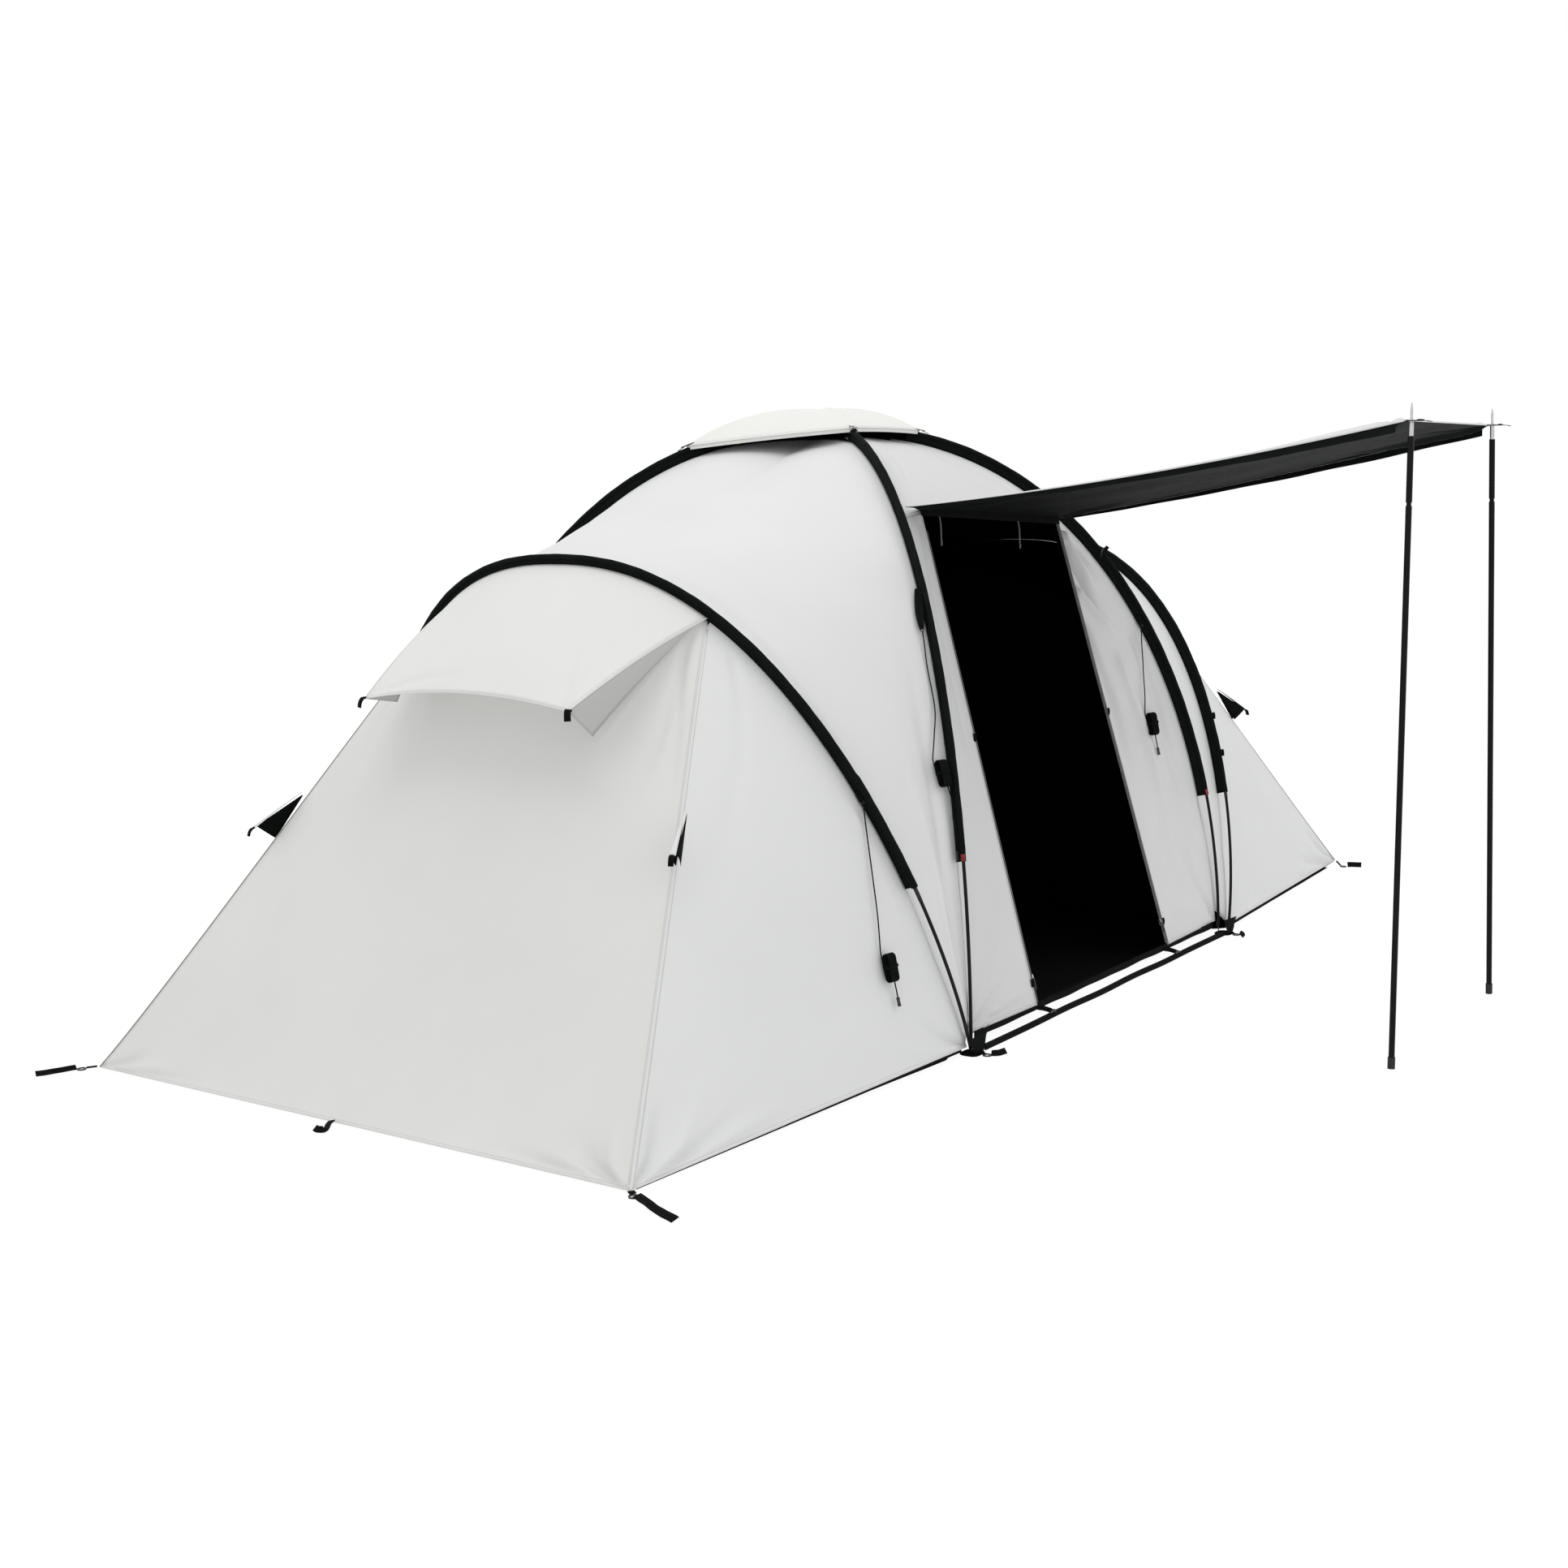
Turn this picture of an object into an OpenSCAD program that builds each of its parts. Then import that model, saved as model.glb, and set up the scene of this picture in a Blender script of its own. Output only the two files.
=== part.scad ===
// Family dome tent: a living area under two crossing poles, a low bedroom under an
// arched pole at each end, and a front door panel propped out on two poles as an awning.
// X runs along the tent, -Y is the door side, Z is up and 0 is the ground.

/* [Living area] */
// Height of the crossing poles above the ground
apex_h = 1950; // [1900:5:2000]
// Half the distance between the feet of the crossing poles, along the tent
foot_x = 969; // [940:1:990]
// Half the distance between the feet of the crossing poles, across the tent
foot_y = 1152; // [1130:1:1165]

/* [Bedrooms] */
// Height of each bedroom arch
arch_h = 1529; // [1500:1:1560]
// Distance from the middle of the tent to the top of a bedroom arch
arch_top_x = 1508; // [1480:1:1540]
// Distance from the middle of the tent to the feet of a bedroom arch
arch_foot_x = 1004; // [1000:1:1010]
// Half the distance between the feet of a bedroom arch
arch_foot_y = 1176; // [1172:1:1185]
// Distance from the middle of the tent to an end hem
end_x = 2514; // [2500:1:2530]
// Half the width of an end hem
end_y = 1049; // [1030:1:1060]

/* [Poles] */
// Diameter of a glass fibre pole section
pole_d = 11; // [9:0.5:11]
// Number of sections in each glass fibre pole
pole_sections = 8; // [4,8]
// Diameter of the steel awning poles
awning_pole_d = 18; // [16:1:20]

/* [Fabric] */
// Thickness of the flysheet solids
fly_t = 3; // [2:0.5:3]
// Depth of the pole sleeves from the pole to the fabric
sleeve_w = 30; // [28:1:34]

/* [Awning] */
// Height of the middle of the seam where the awning starts
head_z = 1636; // [1630:1:1642]
// Height of the awning's outer edge
awning_z = 1888; // [1870:1:1890]
// Distance of the awning's outer edge from the middle of the tent
awning_y = 2262; // [2255:1:2264]
// Half the width of the awning at the door
awning_in = 520; // [480:1:525]
// Half the width of the awning at its outer edge
awning_out = 432; // [430:1:450]

/* [Hidden] */

shift_y = 540;          // the origin is under the middle of the outer box
black = [0.06, 0.07, 0.07];
white = [0.90, 0.90, 0.91];
cream = [0.85, 0.85, 0.83];
grey = [0.6, 0.6, 0.62];

// ---- small maths -------------------------------------------------------------------
function unit(v) = v / norm(v);
function lerp(a, b, t) = a + (b - a) * t;
function flip(v, e, f) = [v[0] * e, v[1] * f, v[2]];
// height of a flattened half-oval: 1 in the middle, 0 at s = -1 and 1
function oval(s, p, q) = pow(max(0, 1 - pow(abs(s), p)), 1 / q);

// ---- pole lines; th is an angle from -90 at the front foot to 90 at the back foot ----
function cross_line(th, k) = let (s = sin(th)) [k * s * foot_x, s * foot_y, apex_h * oval(s, 2.28, 1.975)];
function arch_line(th, e) = let (s = sin(th), t = oval(s, 2.34, 1.67))
    [e * (arch_foot_x + (arch_top_x - arch_foot_x) * pow(t, 1.015)), s * arch_foot_y, arch_h * t];
function cross_tan(th, k) = unit(cross_line(min(th + 1, 90), k) - cross_line(max(th - 1, -90), k));
function arch_tan(th, e) = unit(arch_line(min(th + 1, 90), e) - arch_line(max(th - 1, -90), e));
// direction from the fabric out to the pole
function cross_out(th, k) = let (t = cross_tan(th, k), o = cross(unit([foot_y, -k * foot_x, 0]), t),
    l = [o[0] * 0.5, o[1], o[2]]) unit(l - t * (l * t));
function arch_out(th, e) = let (t = arch_tan(th, e),
    b = cross([0, 1, 0], unit([e * (arch_top_x - arch_foot_x), 0, arch_h]))) unit(cross(b, t));
function fade(th) = min(1, 4 * cos(th));
cross_over = 8;         // half the rise of one crossing pole over the other
function cross_mid(th, k) = cross_line(th, k) - cross_out(th, k) * 4
    + [0, 0, k * cross_over * exp(-pow(sin(th) / 0.16, 2))];
function arch_mid(th, e) = arch_line(th, e) - arch_out(th, e) * 4;
// fabric lines under the poles
skin_gap = sleeve_w + 8;
foot_gap = 13;
function skin_in(th) = lerp(foot_gap, skin_gap, fade(th));
function cross_skin(th, k) = cross_line(th, k) - cross_out(th, k) * skin_in(th);
function arch_skin(th, e) = arch_line(th, e) - arch_out(th, e) * skin_in(th);
// the half of the crossing poles on one end: left is e = -1
function side_skin(th, e) = cross_skin(th, th < 0 ? -e : e);

// ---- stations along the poles ----
N = 32;
cross_T = 89;
arch_T = 88.4;
function cross_at(i, k) = cross_mid(-cross_T + 2 * cross_T * i / N, k);
function arch_at(i, e) = arch_mid(-arch_T + 2 * arch_T * i / N, e);

// ---- solids from rings and grids ----------------------------------------------------
// closed tube through rings of n points; inner is a second list of rings or empty
module loft(R, inner = []) {
    n = len(R[0]);
    m = len(R) - 1;
    K = (m + 1) * n;
    hollow = len(inner) > 0;
    pts = concat([for (r = R) each r], hollow ? [for (r = inner) each r] : []);
    side = [for (i = [0:m - 1]) for (j = [0:n - 1])
        let (a = i * n + j, b = i * n + (j + 1) % n, c = b + n, d = a + n) each [[a, b, c], [a, c, d]]];
    in_side = hollow ? [for (i = [0:m - 1]) for (j = [0:n - 1])
        let (a = K + i * n + j, b = K + i * n + (j + 1) % n, c = b + n, d = a + n) each [[a, c, b], [a, d, c]]] : [];
    caps = hollow
        ? [for (j = [0:n - 1]) let (k = (j + 1) % n) each [
            [j, K + k, k], [j, K + j, K + k],
            [m * n + j, m * n + k, K + m * n + k], [m * n + j, K + m * n + k, K + m * n + j]]]
        : [[for (j = [n - 1:-1:0]) j], [for (j = [0:n - 1]) m * n + j]];
    polyhedron(pts, concat(side, in_side, caps));
}
// one ring: c is the middle, u and v are its axes, prof is a list of [u, v]
function ring_at(c, u, v, prof) = [for (p = prof) c + u * p[0] + v * p[1]];
function circle_prof(r, n) = [for (i = [0:n - 1]) [r * cos(360 * i / n), -r * sin(360 * i / n)]];

// thin shell under a grid of points, leaving out a block of cells
module shell(P, t, skip = [-1, -1, -1, -1]) {
    m = len(P) - 1;
    n = len(P[0]) - 1;
    function on(i, j) = i >= 0 && i < m && j >= 0 && j < n
        && !(i >= skip[0] && i < skip[1] && j >= skip[2] && j < skip[3]);
    function id(i, j) = i * (n + 1) + j;
    K = (m + 1) * (n + 1);
    Nn = [for (i = [0:m]) [for (j = [0:n])
        unit(cross(P[min(i + 1, m)][j] - P[max(i - 1, 0)][j], P[i][min(j + 1, n)] - P[i][max(j - 1, 0)]))]];
    pts = concat([for (r = P) each r], [for (i = [0:m]) each [for (j = [0:n]) P[i][j] - t * Nn[i][j]]]);
    F = [for (i = [0:m - 1]) for (j = [0:n - 1]) if (on(i, j))
        let (a = id(i, j), b = id(i, j + 1), c = id(i + 1, j + 1), d = id(i + 1, j)) each concat(
            [[a, b, c], [a, c, d], [K + a, K + c, K + b], [K + a, K + d, K + c]],
            on(i - 1, j) ? [] : [[b, a, K + a], [b, K + a, K + b]],
            on(i, j + 1) ? [] : [[c, b, K + b], [c, K + b, K + c]],
            on(i + 1, j) ? [] : [[d, c, K + c], [d, K + c, K + d]],
            on(i, j - 1) ? [] : [[a, d, K + d], [a, K + d, K + a]])];
    polyhedron(pts, F);
}
// flat webbing along points, w wide and t thick, with its face towards up
module ribbon(pts, up, w, t) {
    m = len(pts) - 1;
    loft([for (i = [0:m]) let (d = unit(pts[min(i + 1, m)] - pts[max(i - 1, 0)]),
        s = unit(cross(d, up)), n = unit(cross(s, d)))
        [pts[i] + s * w / 2, pts[i] + s * w / 2 + n * t, pts[i] - s * w / 2 + n * t, pts[i] - s * w / 2]]);
}
// triangular plate, t thick
module tri(a, b, c, t) {
    n = unit(cross(b - a, c - a)) * t / 2;
    polyhedron([a + n, b + n, c + n, a - n, b - n, c - n],
        [[0, 2, 1], [3, 4, 5], [0, 1, 4], [0, 4, 3], [1, 2, 5], [1, 5, 4], [2, 0, 3], [2, 3, 5]]);
}
// round bar from a to b
module rod(a, b, r) {
    d = b - a;
    translate(a) rotate([0, acos(d[2] / norm(d)), atan2(d[1], d[0])]) cylinder(h = norm(d), r = r, $fn = 32);
}
module tent() { translate([0, shift_y, 0]) children(); }
module four() { for (e = [-1, 1]) for (f = [-1, 1]) mirror([e > 0 ? 1 : 0, 0, 0]) mirror([0, f > 0 ? 1 : 0, 0]) children(); }
// points given for the left front corner, moved to corner e, f (left and front are -1)
function at_corner(v, e, f) = flip(v, -e, -f);

// ---- poles ---------------------------------------------------------------------------
ferrule_l = 70;
module pole(C, O) {
    per = N / pole_sections;
    bore = circle_prof(pole_d / 2 - 2.3, 6);
    thin = circle_prof(pole_d / 2, 6);
    thick = circle_prof(pole_d / 2 + 0.8, 6);
    for (j = [0:pole_sections - 1]) {
        i0 = j * per;
        i1 = i0 + per;
        last = j == pole_sections - 1;
        // along the section: [middle, station, is the thick end]
        a = C[i0] + unit(C[i0 + 1] - C[i0]) * (j == 0 ? 0 : 0.2);
        back = unit(C[i1] - C[i1 - 1]);
        st = concat([[a, i0, false]], [for (i = [i0 + 1:i1 - 1]) [C[i], i, false]],
            last ? [[C[i1], i1, false]] : [[C[i1] - back * (ferrule_l + 0.6), i1, false],
                [C[i1] - back * ferrule_l, i1, true], [C[i1] - back * 0.2, i1, true]]);
        rings = [for (x = st) let (i = x[1], d = unit(C[min(i + 1, N)] - C[max(i - 1, 0)]),
            u = unit(O[i] - d * (O[i] * d)), v = cross(d, u)) ring_at(x[0], u, v, x[2] ? thick : thin)];
        holes = [for (x = st) let (i = x[1], d = unit(C[min(i + 1, N)] - C[max(i - 1, 0)]),
            u = unit(O[i] - d * (O[i] * d)), v = cross(d, u)) ring_at(x[0], u, v, bore)];
        loft(rings, holes);
    }
}
function cross_C(k) = [for (i = [0:N]) cross_at(i, k)];
function cross_O(k) = [for (i = [0:N]) cross_out(-cross_T + 2 * cross_T * i / N, k)];
function arch_C(e) = [for (i = [0:N]) arch_at(i, e)];
function arch_O(e) = [for (i = [0:N]) arch_out(-arch_T + 2 * arch_T * i / N, e)];
module cross_pole_left() { color(black) tent() pole(cross_C(1), cross_O(1)); }
module cross_pole_right() { color(black) tent() pole(cross_C(-1), cross_O(-1)); }
module arch_pole_left() { color(black) tent() pole(arch_C(-1), arch_O(-1)); }
module arch_pole_right() { color(black) tent() pole(arch_C(1), arch_O(1)); }

// elastic cord inside each pole, clear of the pins at its ends
module cord_in(C, O) {
    a = C[0] + unit(C[1] - C[0]) * 50;
    z = C[N] + unit(C[N - 1] - C[N]) * 50;
    Q = concat([a], [for (i = [1:N - 1]) C[i]], [z]);
    loft([for (i = [0:N]) let (d = unit(Q[min(i + 1, N)] - Q[max(i - 1, 0)]), u = unit(O[i] - d * (O[i] * d)))
        ring_at(Q[i], u, cross(d, u), circle_prof(1.5, 4))]);
}
module shock_cords() {
    color(white) tent() {
        cord_in(cross_C(1), cross_O(1));
        cord_in(cross_C(-1), cross_O(-1));
        cord_in(arch_C(-1), arch_O(-1));
        cord_in(arch_C(1), arch_O(1));
    }
}

// ---- sleeves: a flat band sewn to the fabric with a channel for the pole --------------
sleeve_out = [[-sleeve_w, 1.2], [-9.5, 1.4], [-5, 7.4], [2, 9.4], [8.8, 4.6], [8.8, -4.6], [2, -9.4], [-5, -7.4], [-9.5, -1.4], [-sleeve_w, -1.2]];
sleeve_in = [[-7.6, 0.5], [-7.3, 2.2], [-4.2, 6.0], [1.5, 7.6], [7.2, 3.6], [7.2, -3.6], [1.5, -7.6], [-4.2, -6.0], [-7.3, -2.2], [-7.6, -0.5]];
// a sleeve runs between any two points of a pole, s0 and s1, counted in its stations
module sleeve(C, O, s0, s1) {
    S = concat([s0], [for (i = [floor(s0) + 1:ceil(s1) - 1]) i], [s1]);
    function at(L, s) = let (i = floor(s)) s == i ? L[i] : lerp(L[i], L[i + 1], s - i);
    function d(s) = let (i = floor(s)) s == i ? unit(C[i + 1] - C[i - 1]) : unit(C[i + 1] - C[i]);
    function u(s) = unit(at(O, s) - d(s) * (at(O, s) * d(s)));
    loft([for (s = S) ring_at(at(C, s), u(s), -cross(d(s), u(s)), sleeve_out)],
        [for (s = S) ring_at(at(C, s), u(s), -cross(d(s), u(s)), sleeve_in)]);
}
module cross_sleeve_left() { color(black) tent() { sleeve(cross_C(1), cross_O(1), 2.8, 13); sleeve(cross_C(1), cross_O(1), 19, 29.2); } }
module cross_sleeve_right() { color(black) tent() { sleeve(cross_C(-1), cross_O(-1), 2.6, 13); sleeve(cross_C(-1), cross_O(-1), 19, 29.4); } }
module arch_sleeve_left() { color(black) tent() sleeve(arch_C(-1), arch_O(-1), 3.9, 28.1); }
module arch_sleeve_right() { color(black) tent() sleeve(arch_C(1), arch_O(1), 3.75, 28.25); }

// ---- feet ----------------------------------------------------------------------------
foot_ring = [-985, -1214, 0];
module pole_foot_pins() {
    color(grey) tent() for (e = [-1, 1]) for (f = [-1, 1]) {
        ca = at_corner(cross_at(0, 1), e, f);
        cb = at_corner(cross_at(1, 1), e, f);
        aa = at_corner(arch_at(0, -1), e, f);
        ab = at_corner(arch_at(1, -1), e, f);
        rod(ca - unit(cb - ca) * (ca[2] - 8), ca + unit(cb - ca) * 42, 2);
        rod(aa - unit(ab - aa) * (aa[2] - 8), aa + unit(ab - aa) * 42, 2);
    }
}
module pole_foot_patches() {
    color(black) tent() four() {
        translate([-990, -1160, 0]) linear_extrude(5) union() {
            square([76, 60], center = true);
            translate([4, -8]) circle(r = 26, $fn = 48);
        }
        translate([-993, -1203.8, 5]) cube([16, 20, 1.6]);
        translate([-985, -1188.5, 0]) rotate([90, 0, 0])
            linear_extrude(2) polygon([[-64, 60], [50, 66], [24, 6], [-26, 6]]);
    }
}

// ---- pegging points: flat rings that take a round peg ----------------------------------
ring_r = 10;
corner_ring = [[-2548, -1086, 0], [-2552, 1062, 0]];   // left front and left back
module peg_ring(c) {
    translate(c) difference() {
        cylinder(h = 4, r = ring_r + 4, $fn = 48);
        translate([0, 0, -1]) cylinder(h = 6, r = ring_r, $fn = 48);
    }
}
module peg_rings() {
    color(grey) tent() {
        for (e = [-1, 1]) for (f = [-1, 1]) peg_ring(at_corner(foot_ring, e, f));
        for (e = [-1, 1]) for (c = corner_ring) peg_ring(flip(c, -e, 1));
    }
}
// webbing from each corner to its ring, and the loose tails on the ground
tails = [
    [[-2556, -1102, 0], [-2580, -1150, 0], [-2612, -1212, 0], [-2640, -1285, 0]],
    [[-2568, 1066, 0], [-2600, 1075, 0], [-2640, 1090, 0], [-2680, 1110, 0]],
    [[-985, -1229, 0], [-983, -1237, 0], [-970, -1247, 0], [-938, -1253, 0]],
    [[-985, 1229, 0], [-984, 1236, 0], [-976, 1244, 0], [-956, 1252, 0]]];
// short straps between the hem's corners and their rings
corner_straps = [
    [[-2530, -1063, 6], [-2535, -1070, 5.4], [-2540, -1077.5, 4.6]],
    [[-2518, 1031.5, 6], [-2530, 1041, 5.5], [-2542.5, 1052, 4.6]],
    [[2546, -1054, 24], [2546.5, -1064, 14], [2547, -1074.5, 4.6]],
    [[2533.5, 1051, 8], [2538, 1053.5, 6], [2541.5, 1056, 4.6]]];
module peg_straps() {
    color(black) tent() {
        for (p = corner_straps) ribbon(p, [0, 0, 1], 20, 1.6);
        for (e = [-1, 1]) mirror([e > 0 ? 1 : 0, 0, 0]) {
            for (p = tails) ribbon(p, [0, 0, 1], 20, 2);
            // folded loop at the middle of the end hem
            ribbon([[-2529, -2, 5], [-2556, -20, 3], [-2590, -45, 0.4], [-2606, -30, 1.5], [-2600, -12, 3]], [0, 0, 1], 20, 2);
        }
    }
}

// ---- flysheet ------------------------------------------------------------------------
// door side: rows of the front wall, from the hem up; the door runs from the hem to row 9
front_rows = [88.5, 85.5, 80, 73.5, 67, 60, 53, 46, 40.5, 35.4, 30, 24, 17, 9.4];
door_top = 9;
// corners of the doorway, on straight side seams
door_bl = [-532, -1148, 50];
door_br = [496, -1148, 50];
door_tl = [-446, -672, 1636];
door_tr = [468, -705, 1590];
function front_row(i) = let (p = cross_skin(-front_rows[i], 1), X = -p[0] - 4,
        p0 = cross_skin(-front_rows[0], 1), pt = cross_skin(-front_rows[door_top], 1),
        q = (p[2] - p0[2]) / (pt[2] - p0[2]),
        g = X / (-pt[0] - 4),
        side = [-X, p[1], p[2]], far = [X, p[1], p[2]],
        L = i <= door_top ? lerp(door_bl, door_tl, q) : side + (door_tl - [4 + pt[0], pt[1], pt[2]]) * g,
        R = i <= door_top ? lerp(door_br, door_tr, q) : far + (door_tr - [-pt[0] - 4, pt[1], pt[2]]) * g)
    [side, lerp(side, L, 0.34), lerp(side, L, 0.67), L, lerp(L, R, 1 / 3), lerp(L, R, 2 / 3), R,
        lerp(far, R, 0.67), lerp(far, R, 0.34), far];
module front_wall() {
    n = len(front_rows) - 1;
    color(white) tent() shell([for (i = [n:-1:0]) front_row(i)], fly_t, [n - door_top, n, 3, 6]);
}
module back_wall() {
    color(white) tent() mirror([0, 1, 0]) shell([for (i = [len(front_rows) - 1:-1:0]) let (p = cross_skin(-front_rows[i], 1), X = -p[0] - 4)
        [for (u = [-1:0.4:1.01]) [u * X, p[1], p[2]]]], fly_t);
}
// roof between the crossing poles and a bedroom arch; the top is cut back for the mesh
function mesh_v(th) = 0.075 * max(0, 1 - pow(abs(th) / 14, 2));
roof_rows = [for (i = [-12:12]) i * 87.3 / 12];
function roof_pt(th, v, e) = lerp(side_skin(th, e), arch_skin(th, e), v);
function roof_edge(th, e) = 4 / norm(side_skin(th, e) - arch_skin(th, e));
module roof(e) {
    shell([for (th = roof_rows) let (w = roof_edge(th, e), a = max(w, mesh_v(th) + w))
        [for (v = [1:-0.25:0]) roof_pt(th, lerp(a, 1 - w, v), e)]], fly_t);
}
module left_roof() { color(white) tent() roof(-1); }
module right_roof() { color(white) tent() mirror([1, 0, 0]) roof(-1); }

// seam from a bedroom arch down to an end corner
arch_cut = 28;          // the end wall hangs from this much of the arch each side of its top
seam_top = arch_skin(-arch_cut, -1) + [-35, -18, -25];
seam_end = [-end_x, -end_y, 7];
// the pegged corners aren't pulled evenly; these are as seen at the left front corner:
// left front, left back, right front, right back
seam_mid = [[-2306, -930, 142], [-2300, -914, 142], [-2400, -940, 240], [-2350, -930, 190]];
pull = [[-12, -9, -3], [0, 21, -3], [-31, 0, 21], [-16, 0, 1]];
function seam(t, c) = seam_top * (1 - t) * (1 - t) + seam_mid[c] * 2 * t * (1 - t) + (seam_end + pull[c]) * t * t
    + (arch_skin(-arch_cut, -1) - seam_top) * pow(1 - t, 8);
// end wall between the seams of corners c and c + 1
function end_pt(u, t, c) = lerp(seam(t, c), flip(seam(t, c + 1), 1, -1), (u + 1) / 2)
    + (arch_skin(arch_cut * u, -1) - lerp(arch_skin(-arch_cut, -1), arch_skin(arch_cut, -1), (u + 1) / 2)) * pow(1 - t, 2.5);
module end_wall(c) {
    shell([for (t = [0.012, 0.06, 0.14, 0.24, 0.36, 0.5, 0.65, 0.82, 1]) let (w = 4 / norm(seam(t, c) - flip(seam(t, c + 1), 1, -1)))
        [for (u = [1:-0.25:-1]) end_pt(u * (1 - 2 * w), t, c)]], fly_t);
}
module left_end_wall() { color(cream) tent() end_wall(0); }
module right_end_wall() { color(cream) tent() mirror([1, 0, 0]) end_wall(2); }
// low wall of a bedroom between the arch, the seam and the hem; w runs from the arch cut to the hem
function side_pt(w, v, c) = lerp(arch_skin(-lerp(arch_cut, 86.5, w), -1), seam(w, c), v);
side_rows = [0.05, 0.12, 0.22, 0.35, 0.5, 0.65, 0.8, 0.91, 1];
module side_wall(c) {
    shell([for (w = side_rows) let (g = 4 / norm(side_pt(w, 0, c) - side_pt(w, 1, c)))
        [for (v = [0:0.2:1.01]) side_pt(w, lerp(g, 1 - g, v), c)]], fly_t);
}
// shape drawn at the left front corner, moved to corner c
module corner(c) { mirror([c > 1 ? 1 : 0, 0, 0]) mirror([0, c % 2, 0]) children(); }
module left_front_side() { color(white) tent() side_wall(0); }
module left_back_side() { color(white) tent() corner(1) side_wall(1); }
module right_front_side() { color(white) tent() corner(2) side_wall(2); }
module right_back_side() { color(white) tent() corner(3) side_wall(3); }

// insect mesh at the top of the living area
module mesh_side(e) {
    shell([for (th = [-12:3:12]) let (w = roof_edge(th, e), a = mesh_v(th) - w)
        [for (v = [1, 0]) roof_pt(th, lerp(w, max(a, 2 * w), v), e)]], 1.5);
}
module mesh_front() {
    shell([for (th = [2, 4.2, 6.4, 8.6]) let (p = cross_skin(-th, 1), X = -p[0] - 4)
        [for (u = [-1, 0, 1]) [u * X, p[1], p[2]]]], 1.5);
}
module roof_mesh() {
    color([0.1, 0.1, 0.1]) tent() {
        mesh_side(-1);
        mirror([1, 0, 0]) mesh_side(-1);
        mesh_front();
        mirror([0, 1, 0]) mesh_front();
    }
}
// rain cap over the mesh: its corners reach down the four halves of the crossing poles
cap_front = 13.4;
cap_back = 19.5;
function cap_corner(i) = let (th = i < 2 ? -cap_front : cap_back, k = (i == 0 || i == 2) ? 1 : -1)
    cross_mid(th, k) + [0, 0, 17];
cap_top = [-12, 0, 2003];
function cap_edge(a, b, t) = lerp(cap_corner(a), cap_corner(b), t) + [0, 0, 16 * t * (1 - t)];
// the cap as a fan of rings round its top; q goes once round the edge
function cap_rim(q) = let (c = [0, 1, 2, 3, 0], i = min(3, floor(q)), t = q - i) cap_edge(c[i], c[i + 1], t);
function cap_pt(q, r) = let (e = cap_rim(q), p = lerp(cap_top, e, r)) [p[0], p[1], lerp(cap_top[2], e[2], pow(r, 2.3)) + 16 * r * (1 - r)];
module roof_cap() {
    nq = 20;
    rr = [0.2, 0.4, 0.58, 0.74, 0.88, 1];
    nr = len(rr) - 1;
    top = concat([cap_top], [for (r = rr) each [for (q = [0:nq - 1]) cap_pt(q * 4 / nq, r)]]);
    K = len(top);
    pts = concat(top, [for (p = top) p - [0, 0, 2.5]]);
    function id(r, q) = 1 + r * nq + (q % nq);
    F = concat(
        [for (q = [0:nq - 1]) each [[0, id(0, q + 1), id(0, q)], [K, K + id(0, q), K + id(0, q + 1)]]],
        [for (r = [0:nr - 1]) for (q = [0:nq - 1]) let (a = id(r, q), b = id(r, q + 1), c = id(r + 1, q + 1), d = id(r + 1, q))
            each [[a, b, c], [a, c, d], [K + a, K + c, K + b], [K + a, K + d, K + c]]],
        [for (q = [0:nq - 1]) let (a = id(nr, q), b = id(nr, q + 1)) each [[a, b, K + b], [a, K + b, K + a]]]);
    color(white) tent() polyhedron(pts, F);
}

// ---- hoods over the bedroom vents ---------------------------------------------------
hood_corner = [-1944, -403, 1111];
hood_rise = 35;
function hood_root(u) = let (th = arch_cut * u, o = arch_out(th, -1), b = unit(cross(arch_tan(th, -1), o)))
    arch_line(th, -1) - o * (skin_gap - 8) + [-9, 0, 2];
function hood_pt(u, v) = let (r = hood_root(u), c = [hood_corner[0], -hood_corner[1] * u, hood_corner[2] + hood_rise * (1 - u * u)])
    lerp(r, c, v) + [0, 0, 14 * v * (1 - v) * 4];
module hood() { shell([for (v = [0:0.25:1]) [for (u = [1:-0.25:-1]) hood_pt(u, v)]], 2); }
module left_hood() { color(white) tent() hood(); }
module right_hood() { color(white) tent() mirror([1, 0, 0]) hood(); }

// low vents: a narrow cowl with a gusset each side, standing off the corner seam
vent_top = [-1866, -753, 822];
vent_tip = [-2016, -818, 728];
vent_low = [-1956, -792, 692];
vent_side = unit([0.4, -0.91, 0]);
vent_move = [[-4, -3, 16], [-24, -1, -38], [-38, 14, 15], [-20, 4, 6]];
module low_vent_cowls() {
    color(white) tent() for (c = [0:3]) corner(c) translate(vent_move[c])
        tri(vent_top + [-4, -2, 8], vent_tip + vent_side * 14 + [0, 0, 4], vent_tip - vent_side * 14 + [0, 0, 4], 2);
}
module low_vent_gussets() {
    color(black) tent() for (c = [0:3]) corner(c) translate(vent_move[c]) for (s = [-1, 1])
        tri(vent_top + vent_side * s * 4, lerp(vent_top, vent_tip, 0.9) + vent_side * s * 10 + [0, 0, -1.5], vent_low + vent_side * s * 7, 1.5);
}
module vent_tabs() {
    color(black) tent() for (c = [0:3]) corner(c) {
        translate(vent_move[c]) ribbon([vent_tip + [-4, -1.6, 1], vent_tip + [-14, -6, -8], vent_tip + [-18, -8, -22]], [-0.9, -0.4, 0.4], 18, 2);
        ribbon([hood_corner + [-4, -2, 0], hood_corner + [-12, -8, -12], hood_corner + [-14, -10, -28]], [-0.9, -0.4, 0.4], 22, 2);
    }
}

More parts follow.
